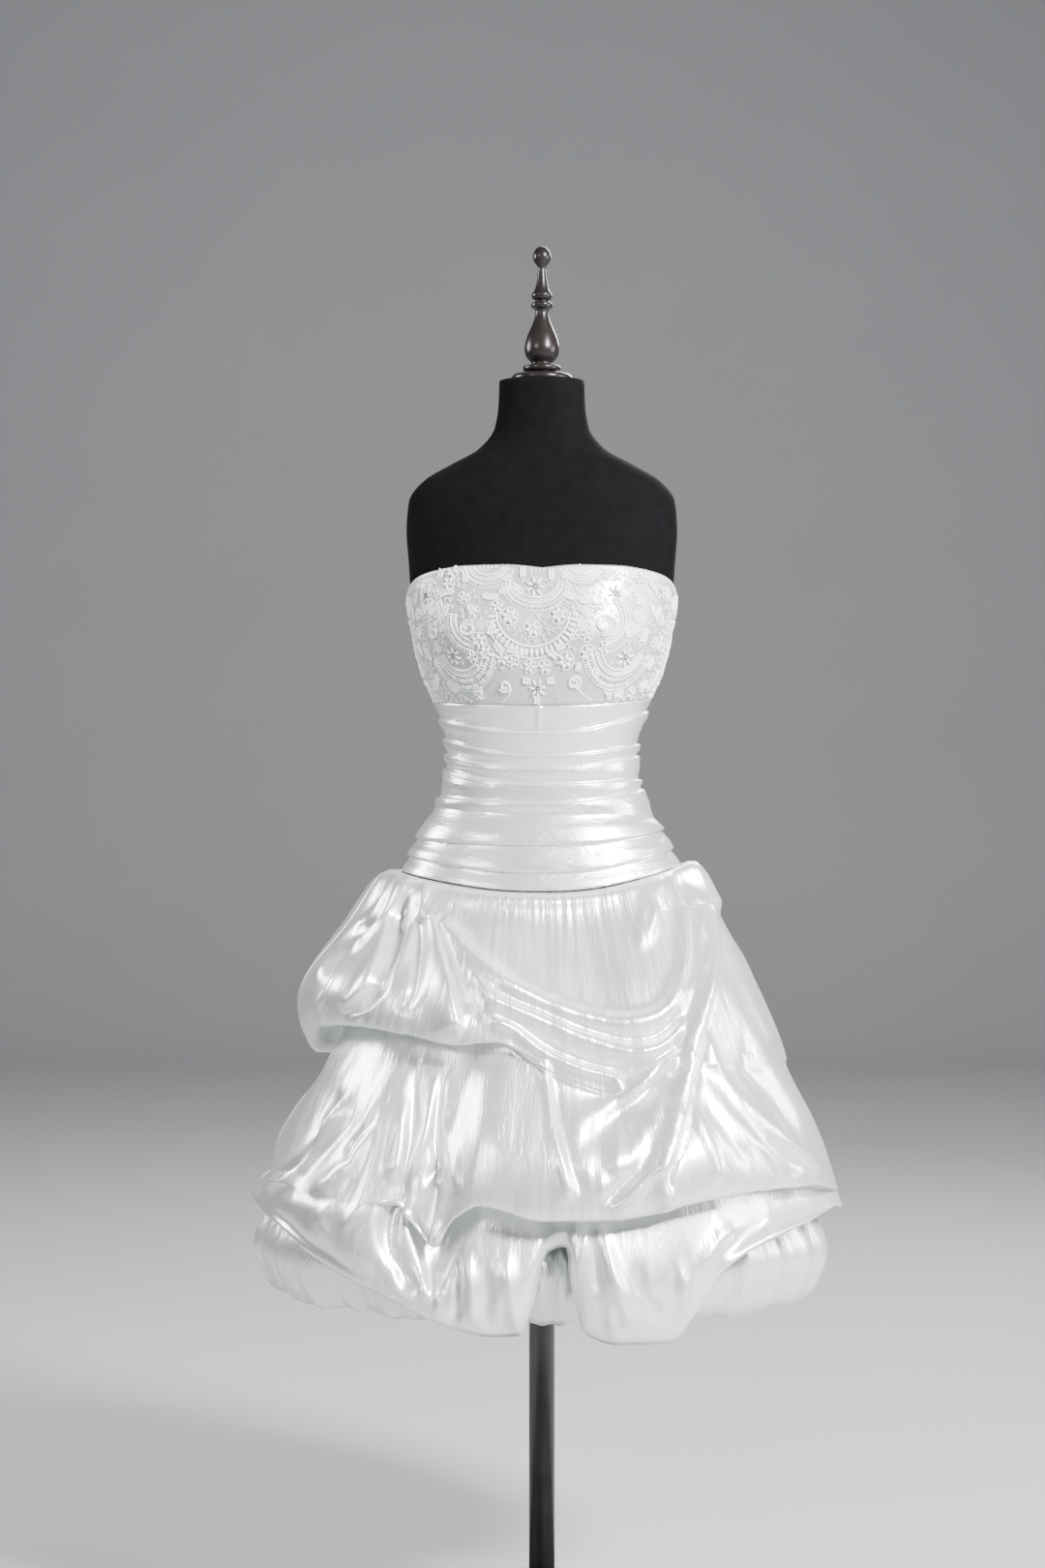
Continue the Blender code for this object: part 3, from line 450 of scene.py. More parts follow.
# %% Jersey, lacquer and enamel
BLACK_JERSEY = (0.003, 0.003, 0.004)
jersey, jersey_shader, place = start_finish("form_cover", BLACK_JERSEY, 0.90, Specular_IOR_Level=0.05)
ribs = threads(place, "X", 900) * 0.5 + threads(place, "Z", 1100) * 0.5
raise_by(jersey_shader, ribs, 0.12)
tint(jersey_shader, grain(place, 60, detail=3), (0.0015, 0.0015, 0.002), (0.004, 0.004, 0.0045))

BLACK_LACQUER = (0.012, 0.010, 0.010)
lacquer, lacquer_shader, place = start_finish("finial_lacquer", BLACK_LACQUER, 0.26, Specular_IOR_Level=0.25)
wood = grain(stretched(place, (60, 60, 6)), 1.0, detail=4)
tint(lacquer_shader, wood, (0.008, 0.007, 0.007), (0.016, 0.013, 0.012))
raise_by(lacquer_shader, wood, 0.05)

enamel, enamel_shader, place = start_finish("stand_enamel", (0.020, 0.020, 0.021), 0.34)
raise_by(enamel_shader, grain(place, 420), 0.04)
worn = grain(place, 25, detail=4).between(0.3, 0.7)
tint(enamel_shader, worn, (0.016, 0.016, 0.017), (0.026, 0.026, 0.027))
print("finishes:", jersey.name, lacquer.name, enamel.name)

# %% Torso
NECK_TOP, FORM_FOOT = 1.528, 0.800
form_heights = np.linspace(NECK_TOP, FORM_FOOT, 110)[:, None]
form_bearings = np.linspace(-180, 180, 121)[None, :]
form_places = around(form_bearings, body_radius(form_bearings, form_heights) - FORM_SLIM, form_heights)


def close_ends(bm):
    """Fills the open rims of a tube."""
    rims = [edge for edge in bm.edges if edge.is_boundary]
    bmesh.ops.holes_fill(bm, edges=rims, sides=0)


def closed_tube(name, places, finish):
    """A closed solid from a grid that goes all the way round."""
    bm = flat_grid(places)
    move_to(bm, places)
    bmesh.ops.remove_doubles(bm, verts=bm.verts, dist=MERGE)
    smooth(bm)
    close_ends(bm)
    obj = finish_mesh(name, bm)
    obj.data.materials.append(finish)
    return obj


torso = closed_tube("dress_form_torso", form_places, jersey)
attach(torso, "root")
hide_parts("form_torso")
print("torso:", len(torso.data.polygons), "faces")


# %% Turned pieces
def turned(name, outline, finish, steps):
    """A solid spun from (radius, height) points that run down its side."""
    bm = bmesh.new()
    ends = [(0.0, outline[0][1]), *outline, (0.0, outline[-1][1])]
    corners = [bm.verts.new((radius, 0, height)) for radius, height in ends]
    for a, b in zip(corners, corners[1:]):
        bm.edges.new((a, b))
    bmesh.ops.spin(bm, geom=bm.verts[:] + bm.edges[:], cent=(0, 0, 0), axis=(0, 0, 1), angle=2 * pi,
                   steps=steps, use_merge=True)
    bmesh.ops.remove_doubles(bm, verts=bm.verts, dist=MERGE)
    bmesh.ops.recalc_face_normals(bm, faces=bm.faces)
    smooth(bm)
    obj = finish_mesh(name, bm)
    obj.data.materials.append(finish)
    return obj


def curve_point(a, b, c, d, t):
    """A smooth curve's point, a share t of the way from b to c, where a and d lie before and after them."""
    return 0.5 * (2 * b + (c - a) * t + (2 * a - 5 * b + 4 * c - d) * t**2 + (3 * b - a - 3 * c + d) * t**3)


def rounded(outline, per_span):
    """The same outline as a smooth curve, with more points."""
    points = [Vector(p) for p in outline]
    ends = [points[0] * 2 - points[1], *points, points[-1] * 2 - points[-2]]
    curve = []
    for a, b, c, d in zip(ends, ends[1:], ends[2:], ends[3:]):
        curve += [curve_point(a, b, c, d, k / per_span) for k in range(per_span)]
    return [tuple(p) for p in [*curve, points[-1]]]


FINIAL = (
    (0.0020, 1.6962), (0.0062, 1.6945), (0.0098, 1.6895), (0.0112, 1.6840), (0.0100, 1.6780),
    (0.0060, 1.6722), (0.0048, 1.6690), (0.0056, 1.6600), (0.0070, 1.6500), (0.0092, 1.6420),
    (0.0122, 1.6375), (0.0126, 1.6345), (0.0112, 1.6310), (0.0080, 1.6294), (0.0084, 1.6278),
    (0.0128, 1.6255), (0.0132, 1.6225), (0.0122, 1.6198), (0.0088, 1.6180), (0.0080, 1.6130),
    (0.0102, 1.6040), (0.0140, 1.5950), (0.0184, 1.5850), (0.0212, 1.5740), (0.0214, 1.5660),
    (0.0190, 1.5585), (0.0140, 1.5530), (0.0130, 1.5505), (0.0160, 1.5490), (0.0226, 1.5476),
    (0.0236, 1.5445), (0.0222, 1.5416), (0.0180, 1.5400), (0.0186, 1.5384), (0.0330, 1.5374),
    (0.0368, 1.5352), (0.0378, 1.5320), (0.0368, 1.5290), (0.0350, 1.5283),
)
finial = turned("dress_form_finial", rounded(FINIAL, 3), lacquer, 64)
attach(finial, "root")
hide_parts("form_finial")

POLE = (
    (0.0450, 0.7997), (0.0450, 0.7920), (0.0420, 0.7900), (0.0180, 0.7870), (0.0162, 0.7840),
    (0.0160, 0.7800), (0.0160, 0.0463),
)
pole = turned("stand_pole_tube", POLE, enamel, 40)
BASE = (
    (0.0230, 0.0460), (0.0268, 0.0450), (0.0280, 0.0425), (0.0290, 0.0220), (0.0310, 0.0180),
    (0.0400, 0.0152), (0.1000, 0.0134), (0.1640, 0.0118), (0.1740, 0.0105), (0.1788, 0.0078),
    (0.1800, 0.0045), (0.1792, 0.0014), (0.1770, 0.0000),
)
base = turned("stand_round_base", BASE, enamel, 96)
for piece, node in ((pole, "stand_pole"), (base, "stand_base")):
    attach(piece, "root")
    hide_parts(node)
print("turned:", finial.name, pole.name, base.name)

# %% [markdown]
# ## Midriff
# From under the bust to the dropped waist, one width of satin is laid in pleats across the body and
# caught in the side seams. Each pleat bellies out and its folded edge lies over the next one, so light
# runs along the edge and a thin shadow sits under it. The rule for the distance from the figure has one
# gentle rise and one quick fall per pleat. Small creases fan in from the side seams, where the cloth is
# pulled.

# %% Pleat lines
SEAM_GAP = 0.0003
PLEATS = (
    # name, height at the left side, centre, right side and back, and where the folded edge faces
    ("underbust", 1.1300, 1.1245, 1.1355, 1.1310, "seam"),
    ("first", 1.1115, 1.0935, 1.1220, 1.1090, "up"),
    ("second", 1.0875, 1.0650, 1.0800, 1.0850, "up"),
    ("third", 1.0680, 1.0500, 1.0660, 1.0620, "up"),
    ("fourth", 1.0515, 1.0310, 1.0360, 1.0390, "up"),
    ("fifth", 1.0145, 1.0080, 1.0255, 1.0150, "up"),
    ("sixth", 1.0010, 0.9940, 0.9885, 0.9930, "up"),
    ("seventh", 0.9620, 0.9565, 0.9735, 0.9700, "down"),
    ("eighth", 0.9415, 0.9235, 0.9500, 0.9460, "down"),
    ("hip", 0.9220, 0.9010, 0.9305, 0.9230, "down"),
)
PLEAT_DEPTH = 0.0048
EDGE_SHARE = 0.08  # how much of a pleat's height its folded edge takes


def pleat_height(pleat, bearing):
    """The height of a pleat's edge, level across the front and rising or falling towards the sides."""
    _, left, centre, right, back, _ = pleat
    b = signed(bearing)
    side = np.where(b > 0, right, left)
    front = mix(centre, side, np.abs(np.sin(np.radians(b))) ** 3)
    behind = mix(side, back, smooth_step((np.abs(b) - 90) / 90))
    return np.where(np.abs(b) <= 90, front, behind)


def bodice_radius(bearing, height):
    """How far the bodice's outside lies from the pole."""
    return body_radius(bearing, height) + FIGURE_GAP + BODICE_WALL


def flat_by_placket(bearing):
    """1 everywhere but beside the strip down the centre back, where the pleats are pressed flat."""
    return smooth_step((180 - np.abs(signed(bearing)) - 7) / 12)


def pleat_rise(share, turn, bearing):
    """How far a pleat stands out, share of the way down from its own edge to the next."""
    if turn == "up":
        fall = 1 - smooth_step((share - EDGE_SHARE) / (1 - EDGE_SHARE))
        shape = smooth_step(share / EDGE_SHARE) * fall**0.7
    else:
        shape = smooth_step(share / 0.86) * (1 - smooth_step((share - 1 + EDGE_SHARE) / EDGE_SHARE))
    return PLEAT_DEPTH * shape * flat_by_placket(bearing)


# %% Creases
CREASES = (
    # bearing and height where it starts at the side, the same where it dies, and rise and width in mm
    (-88, 1.105, -20, 1.083, 0.9, 3.0), (-84, 1.121, -34, 1.110, 0.7, 2.5),
    (-86, 1.078, -30, 1.060, 0.8, 2.5), (-88, 1.060, -10, 1.040, 0.9, 3.0),
    (-80, 1.034, -25, 1.022, 0.9, 3.5), (-86, 1.026, -45, 1.018, 0.7, 2.5),
    (-88, 0.985, -15, 0.975, 1.0, 4.0), (-70, 0.974, -5, 0.968, 0.8, 3.5),
    (-86, 0.951, -30, 0.938, 0.8, 3.0), (88, 1.112, 25, 1.080, 0.9, 3.0), (84, 1.098, 38, 1.078, 0.7, 2.5),
    (86, 1.072, 30, 1.057, 0.8, 2.5), (88, 1.050, 12, 1.040, 0.9, 3.0), (82, 1.032, 28, 1.018, 0.8, 3.5),
    (88, 1.008, 40, 1.000, 0.8, 2.5), (84, 0.984, 20, 0.976, 1.0, 4.0), (88, 0.962, 35, 0.944, 0.8, 3.0),
    (80, 0.940, 30, 0.926, 0.7, 3.0), (-96, 1.108, -160, 1.098, 0.8, 3.0),
    (-96, 1.050, -165, 1.045, 0.8, 3.0), (-96, 0.980, -165, 0.985, 0.9, 4.0),
    (96, 1.100, 160, 1.092, 0.8, 3.0), (96, 1.044, 165, 1.050, 0.8, 3.0),
    (96, 0.984, 160, 0.978, 0.9, 4.0),
)


def crease_rise(bearing, height):
    """How far the midriff's creases lift the cloth."""
    total = np.zeros(np.broadcast(bearing, height).shape)
    for start, start_height, end, end_height, rise, width in CREASES:
        share = (bearing - start) / (end - start)
        line = mix(start_height, end_height, share)
        inside = smooth_step((share + 0.05) / 0.1) * (1 - smooth_step((share - 0.35) / 0.65))
        total += rise * MM * inside * np.exp(-(((height - line) / (width * MM)) ** 2))
    return total


print("midriff:", len(PLEATS) - 1, "pleats and", len(CREASES), "creases")

# %% Midriff panels
PLEAT_STEPS = (0, 0.03, 0.055, 0.08, 0.12, 0.18, 0.26, 0.36, 0.47, 0.58, 0.69, 0.8, 0.9)
TOP_PLEAT_DEPTH = 0.3  # the band under the bust bellies out less than the others
CREASE_DEPTH = 1.5
CATCH_BEARING, CATCH_WIDTH, CATCH_RISE, CATCH_FOOT = -2.5, 1.2, 0.0016, 1.092


def centre_catch(bearing, height):
    """The short upright ridge where the top band is caught at the centre."""
    across = np.exp(-(((bearing - CATCH_BEARING) / CATCH_WIDTH) ** 2))
    return CATCH_RISE * across * smooth_step((height - CATCH_FOOT) / 0.008)


def midriff_places(bearings):
    """A grid of places over these bearings, with a row at each step down each pleat."""
    heights, rises = [], []
    for pleat, below in zip(PLEATS, PLEATS[1:]):
        top, bottom = pleat_height(pleat, bearings), pleat_height(below, bearings)
        # an "up" pleat rises just below its own edge, a "down" one just above the next edge
        turn = below[5]
        shares = PLEAT_STEPS if turn == "up" else [0, *(1 - share for share in PLEAT_STEPS[:0:-1])]
        if below is PLEATS[-1]:
            shares = [*shares, 1]
        depth = TOP_PLEAT_DEPTH if pleat is PLEATS[0] else 1
        heights += [mix(top, bottom, share) for share in shares]
        rises += [depth * pleat_rise(share, turn, bearings) for share in shares]
    heights = np.array(heights)
    across = np.broadcast_to(bearings, heights.shape)
    lifts = np.array(rises) + centre_catch(across, heights) + CREASE_DEPTH * crease_rise(across, heights)
    return around(across, bodice_radius(across, heights) + lifts, heights)


MIDRIFF_LENGTH, MIDRIFF_SIDE, SHEET_WALL = 0.245, 0.13, 0.0012
gap = np.degrees(SEAM_GAP / 2 / MIDRIFF_SIDE)
for name, start, end, columns in (
    ("midriff_front", -90, 90, 140), ("midriff_back_right", 90, 180, 56), ("midriff_back_left", -180, -90, 56)
):
    places = midriff_places(np.linspace(start + gap, end - gap, columns))
    panel = cloth_grid(name + "_satin", places, SHEET_WALL)
    panel.data.materials.append(midriff_satin)
    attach(panel, "root")
    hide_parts(name)
    flat = (round(cloth_area(places) / MIDRIFF_LENGTH, 3), MIDRIFF_LENGTH)
    print(panel.name, "cut", *flat, "m")

# %% [markdown]
# ## Bust
# The strapless bust is a boned satin panel with corded lace sewn all over it. The panel itself is a
# smooth sheet on the figure, and its satin is painted dark grey as painted shade in the gaps between the
# lace. At its lower edge the satin shows between the scallops and is drawn into short slanting creases.

# %% Top edge and creases of the bust
TOP_EDGE = smooth_line(
    (0, 22, 42, 56, 68, 80, 90, 120, 150, 180),
    (1.2895, 1.2935, 1.2930, 1.2890, 1.2820, 1.2670, 1.2520, 1.2280, 1.2150, 1.2110),
)
BUST_SIDE = 0.15  # the bust's radius, near enough, to turn bearings into lengths
BUST_CREASES = (
    # bearing and height of its lower and upper end, rise and width in mm
    (-52, 1.136, -40, 1.160, 1.2, 3.5), (-38, 1.133, -22, 1.163, 1.3, 4.0),
    (-24, 1.131, -12, 1.152, 1.0, 3.0), (-8, 1.128, -2, 1.148, 0.8, 3.0), (10, 1.128, 6, 1.150, 0.8, 3.0),
    (26, 1.131, 14, 1.155, 1.1, 3.5), (40, 1.134, 26, 1.163, 1.3, 4.0), (54, 1.139, 42, 1.160, 1.1, 3.5),
    (-66, 1.138, -58, 1.156, 0.9, 3.0), (68, 1.142, 60, 1.158, 0.9, 3.0),
)


def bust_crease(bearing, height):
    """How far the creases along the bust's lower edge lift the cloth."""
    total = np.zeros(np.broadcast(bearing, height).shape)
    for start, low, end, high, rise, width in BUST_CREASES:
        share = (height - low) / (high - low)
        inside = smooth_step((share + 0.25) / 0.25) * (1 - smooth_step((share - 0.3) / 0.7))
        away = np.radians(bearing - mix(start, end, share)) * BUST_SIDE
        total += rise * MM * inside * np.exp(-((away / (width * MM)) ** 2))
    return total


print("bust:", len(BUST_CREASES), "creases")


# %% Bust panels
BUST_WALL = 0.0016
ROLL_RISE, ROLL_DEPTH = 0.0008, 0.004  # the rolled top edge


def bust_panel(name, start, end, columns, rows):
    """A panel of the bust between two bearings, and its area."""
    gap = np.degrees(SEAM_GAP / 2 / BUST_SIDE)
    bearings = np.linspace(start + gap, end - gap, columns)
    top = TOP_EDGE(np.abs(bearings))
    bottom = pleat_height(PLEATS[0], bearings) + SEAM_GAP
    heights = mix(top, bottom, np.linspace(0, 1, rows)[:, None])
    across = np.broadcast_to(bearings, heights.shape)
    rolled = ROLL_RISE * np.exp(-(((top - heights) / ROLL_DEPTH) ** 2))
    places = around(across, bodice_radius(across, heights) + bust_crease(across, heights) + rolled, heights)
    panel = cloth_grid(name + "_satin", places, BUST_WALL)
    panel.data.materials.append(bust_satin_painted_shade)
    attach(panel, "root")
    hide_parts(name)
    return panel, cloth_area(places)


bust_pieces = []
for name, start, end, columns, rows, length in (
    ("bust_front", -90, 90, 130, 56, 0.165), ("bust_back_right", 90, 180, 62, 40, 0.115),
    ("bust_back_left", -180, -90, 62, 40, 0.115)
):
    panel, area = bust_panel(name, start, end, columns, rows)
    bust_pieces.append((panel, area, length))
    print(panel.name, "area", round(area, 4), "m2")

# %% [markdown]
# ## Strip over the closure
# The back closes with a hidden zip. All that shows of it is a narrow lapped strip down the centre back,
# with a row of stitches along each edge.

# %% Placket
STRIP_WIDTH, STRIP_FOOT, STRIP_LIFT, STRIP_ROUNDING = 0.018, 0.924, 0.0021, 0.0006
strip_heights = np.linspace(float(TOP_EDGE(180)), STRIP_FOOT, 90)[:, None]
strip_across = np.linspace(STRIP_WIDTH / 2, -STRIP_WIDTH / 2, 9)[None, :]
belly = bodice_radius(180, strip_heights) + STRIP_LIFT
rounding = STRIP_ROUNDING * (np.abs(strip_across) / (STRIP_WIDTH / 2)) ** 6
strip_places = np.stack(np.broadcast_arrays(strip_across, belly - rounding, strip_heights), axis=-1)
placket = cloth_grid("back_placket_satin", strip_places, SHEET_WALL)
placket.data.materials.append(midriff_satin)
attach(placket, "root")
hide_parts("back_placket")
strip_length = cloth_area(strip_places) / STRIP_WIDTH
print("placket:", round(strip_length / MM), "mm long")

# %% Stitches along the placket
STITCH_ACROSS, STITCH_LIFT, STITCH_PITCH = 0.0074, 0.0019, 0.0028
STITCH_LENGTH, THREAD_RADIUS = 0.0021, 0.00035
STITCH_TOP, STITCH_FOOT, STITCH_SINK = 1.209, 0.926, Vector((0, 0.0001, 0))


def stitch_row(bm, points):
    """Adds a short thread lying along each pair of points."""
    for a, b in zip(points, points[1:]):
        middle, run = (a + b) / 2 + STITCH_SINK, b - a
        turn = run.to_track_quat("Z", "Y").to_matrix().to_4x4()
        drawn_out = Matrix.Diagonal((1, 1, STITCH_LENGTH / 2 / THREAD_RADIUS, 1))
        shape = Matrix.Translation(middle) @ turn @ drawn_out
        bmesh.ops.create_icosphere(bm, subdivisions=1, radius=THREAD_RADIUS, matrix=shape)


thread, thread_shader, place = start_finish("thread", (0.84, 0.85, 0.84), 0.5, Sheen_Weight=0.2)
twist_and_groove_shade = threads(stretched(place, (1, 1, 1), (0.6, 0, 0)), "Z", 2400)
raise_by(thread_shader, twist_and_groove_shade, 0.06)
# The thread is painted darker in the grooves of its twist: painted shade.
tint(thread_shader, twist_and_groove_shade, (0.76, 0.77, 0.76), (0.86, 0.87, 0.86))
bm = bmesh.new()
for x in (STITCH_ACROSS, -STITCH_ACROSS):
    heights = np.arange(STITCH_TOP, STITCH_FOOT, -STITCH_PITCH)
    stitch_row(bm, [Vector((x, float(bodice_radius(180, z)) + STITCH_LIFT, z)) for z in heights])
stitches = finish_mesh("placket_stitches", bm)
stitches.data.materials.append(thread)
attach(stitches, "root")
print("stitches:", len(stitches.data.polygons), "faces")

# %% [markdown]
# ## Skirt
# The skirt is one wide ring of satin, far longer than it looks: it is tacked up at the hips and round the
# back, so that each length between two rows of tacks falls out in a pouf. The rule follows the cloth down
# at one bearing: from the dropped waist over a shoulder to the first pouf's edge, in and up to its tack,
# down behind it, out over the next pouf, and so on to the hem, which is rolled under. Tables say for each
# bearing where the edges are and how strongly the cloth is tucked there, so that a pouf can fade into
# smooth cloth.

# %% Tables of the poufs
SHOULDER = lines_of("bearing radius height", (
    (-175, 0.212, 0.868), (-140, 0.226, 0.868), (-95, 0.243, 0.866), (-75, 0.226, 0.862), (-50, 0.192, 0.860),
    (-30, 0.164, 0.862), (-12, 0.149, 0.864), (0, 0.145, 0.862), (15, 0.148, 0.862), (30, 0.162, 0.868),
    (45, 0.184, 0.880), (60, 0.202, 0.884), (80, 0.213, 0.882), (95, 0.214, 0.878), (140, 0.220, 0.870),
), 360)
TIER_COLUMNS = "bearing edge height bulge tuck"
UPPER_TIER = lines_of(TIER_COLUMNS, (
    (-178, 0.264, 0.690, 0.030, 1.0), (-150, 0.268, 0.728, 0.034, 1.0), (-122, 0.288, 0.686, 0.036, 1.0),
    (-95, 0.281, 0.695, 0.038, 1.0), (-80, 0.286, 0.716, 0.036, 1.0), (-68, 0.288, 0.738, 0.034, 1.0),
    (-50, 0.283, 0.745, 0.034, 1.0), (-35, 0.272, 0.738, 0.032, 1.0), (-22, 0.264, 0.729, 0.030, 0.9),
    (-12, 0.256, 0.733, 0.020, 0.50), (-2, 0.251, 0.715, 0.014, 0.15), (8, 0.254, 0.697, 0.012, 0.05),
    (18, 0.262, 0.685, 0.012, 0.05), (28, 0.272, 0.703, 0.012, 0.0), (40, 0.284, 0.718, 0.012, 0.0),
    (60, 0.302, 0.708, 0.010, 0.0), (75, 0.302, 0.702, 0.006, 0.1), (95, 0.297, 0.697, 0.006, 0.8),
    (122, 0.286, 0.684, 0.026, 1.0), (150, 0.268, 0.726, 0.032, 1.0),
), 360)
MIDDLE_TIER = lines_of(TIER_COLUMNS, (
    (-178, 0.318, 0.585, 0.024, 1.0), (-148, 0.322, 0.622, 0.024, 1.0), (-120, 0.328, 0.584, 0.022, 1.0),
    (-95, 0.324, 0.602, 0.008, 1.0), (-80, 0.332, 0.582, 0.004, 0.4), (-68, 0.343, 0.570, 0.002, 0.0),
    (-50, 0.343, 0.566, 0.004, 0.0), (-38, 0.335, 0.562, 0.004, 0.0), (-31, 0.322, 0.548, 0.006, 0.4),
    (-24, 0.318, 0.506, 0.004, 1.0), (-18, 0.320, 0.540, 0.012, 1.0), (-13, 0.322, 0.553, 0.018, 1.0),
    (0, 0.322, 0.537, 0.020, 1.0), (15, 0.327, 0.538, 0.022, 1.0), (30, 0.337, 0.552, 0.018, 1.0),
    (45, 0.350, 0.561, 0.014, 1.0), (60, 0.364, 0.558, 0.010, 0.9), (70, 0.370, 0.549, 0.006, 0.5),
    (77, 0.366, 0.545, 0.006, 0.15), (95, 0.331, 0.598, 0.014, 0.9), (120, 0.328, 0.584, 0.022, 1.0),
    (148, 0.322, 0.618, 0.024, 1.0),
), 360)
HEM_TIER = lines_of(TIER_COLUMNS, (
    (-178, 0.340, 0.495, 0.014, 1.0), (-148, 0.344, 0.530, 0.014, 1.0), (-120, 0.346, 0.500, 0.014, 1.0),
    (-95, 0.352, 0.520, 0.010, 1.0), (-78, 0.360, 0.526, 0.006, 1.0), (-68, 0.360, 0.520, 0.002, 1.0),
    (-60, 0.361, 0.512, 0.000, 1.0), (-50, 0.358, 0.489, 0.002, 1.0), (-40, 0.350, 0.466, 0.005, 1.0),
    (-30, 0.339, 0.444, 0.008, 1.0), (-20, 0.325, 0.420, 0.012, 1.0), (-10, 0.311, 0.410, 0.016, 1.0),
    (-5.5, 0.304, 0.410, 0.016, 1.0), (-2.5, 0.300, 0.442, 0.012, 1.0), (1, 0.289, 0.500, 0.003, 1.0),
    (5, 0.287, 0.506, 0.002, 1.0), (9, 0.298, 0.412, 0.012, 1.0), (16, 0.303, 0.398, 0.016, 1.0),
    (29, 0.307, 0.396, 0.014, 1.0), (34, 0.318, 0.428, 0.010, 1.0), (39, 0.331, 0.472, 0.004, 1.0),
    (46, 0.344, 0.497, -0.004, 1.0), (57, 0.358, 0.514, -0.008, 1.0), (70, 0.366, 0.522, -0.003, 1.0),
    (78, 0.363, 0.522, 0.002, 1.0), (95, 0.351, 0.518, 0.010, 1.0), (120, 0.346, 0.500, 0.014, 1.0),
    (148, 0.344, 0.530, 0.014, 1.0),
), 360)
print("tables:", *SHOULDER, *UPPER_TIER)

# %% Steps from an edge, outward and up
PUFF_AT, PUFF, PUFF_SIDE_RISE = 0.35, (0.007, 0.006), 0.011  # the cloth puffs out just below the midriff
FULL_TUCK, NO_TUCK = np.array((-0.034, 0.030)), np.array((0.007, -0.014))
TUCK_DROP = np.array((0.001, -0.036))
HEM_TURN = np.array(((-0.014, -0.004), (-0.024, 0.014)))
BULGE_AT = 0.55  # how far down a pouf is fullest
PUFF_FOLDS, TACK_FOLDS, DROP_FOLDS, HEM_FOLDS = 0.8, 0.1, 0.3, (0.9, 0.2, 0.1)  # shares of the folds there
print("full tuck", *FULL_TUCK, "m")


# %% The way down the cloth at each bearing
def tier_points(start, tier, bearings):
    """A tier's fullest point, its edge, the tack and the drop behind the edge."""
    edge = np.stack([tier["edge"](bearings), tier["height"](bearings)], axis=-1)
    tuck = tier["tuck"](bearings)[:, None]
    fullest = mix(start, edge, BULGE_AT)
    fullest[:, 0] += tier["bulge"](bearings)
    tack = edge + mix(NO_TUCK, FULL_TUCK, tuck)
    return fullest, edge, tack, tack + mix(NO_TUCK, TUCK_DROP, tuck)


def skirt_profile(bearings):
    """The (radius, height) points down the cloth at each bearing."""
    seam_height = pleat_height(PLEATS[-1], bearings)
    seam = np.stack([bodice_radius(bearings, seam_height), seam_height - SEAM_GAP], axis=-1)
    shoulder = np.stack([SHOULDER["radius"](bearings), SHOULDER["height"](bearings)], axis=-1)
    upper = tier_points(shoulder, UPPER_TIER, bearings)
    middle = tier_points(upper[-1], MIDDLE_TIER, bearings)
    hem = np.stack([HEM_TIER["edge"](bearings), HEM_TIER["height"](bearings)], axis=-1)
    fullest = mix(middle[-1], hem, BULGE_AT)
    fullest[:, 0] += HEM_TIER["bulge"](bearings)
    puff = mix(seam, shoulder, PUFF_AT) + PUFF
    puff[:, 1] += PUFF_SIDE_RISE * np.abs(np.sin(np.radians(bearings))) ** 4
    return np.array([seam, puff, shoulder, *upper, *middle, fullest, hem, *(hem + step for step in HEM_TURN)])


def fold_shares(bearings):
    """The share of the folds that each of those points takes. They die away in a tuck."""
    full = np.ones(len(bearings))
    shares = [0 * full, PUFF_FOLDS * full, full]
    for tier in (UPPER_TIER, MIDDLE_TIER):
        tuck = tier["tuck"](bearings)
        shares += [full, full, mix(full, TACK_FOLDS, tuck), mix(full, DROP_FOLDS, tuck)]
    return np.array([*shares, full, *(share * full for share in HEM_FOLDS)])


def followed(points, shares, steps):
    """The points down the cloth joined by a smooth curve, with steps[i] stretches after point i."""
    ends = np.concatenate([2 * points[:1] - points[1:2], points, 2 * points[-1:] - points[-2:-1]])
    rows, weights = [], []
    for i, count in enumerate(steps):
        a, b, c, d = ends[i : i + 4]
        for t in np.arange(count) / count:
            rows.append(curve_point(a, b, c, d, t))
            weights.append(mix(shares[i], shares[i + 1], t))
    return np.array([*rows, points[-1]]), np.array([*weights, shares[-1]])


print("points down the cloth:", len(skirt_profile(np.zeros(1))))

# %% [markdown]
# ### Folds
# Folds are what make satin read as satin. Each one here is a soft ridge, or a trough, along a curve that
# is placed as it is seen: across and up in millimetres, from the front or from behind. A fold has its own
# width on either side, and its crest may lean over to one side, so that one flank is steep where the
# cloth is folded over.

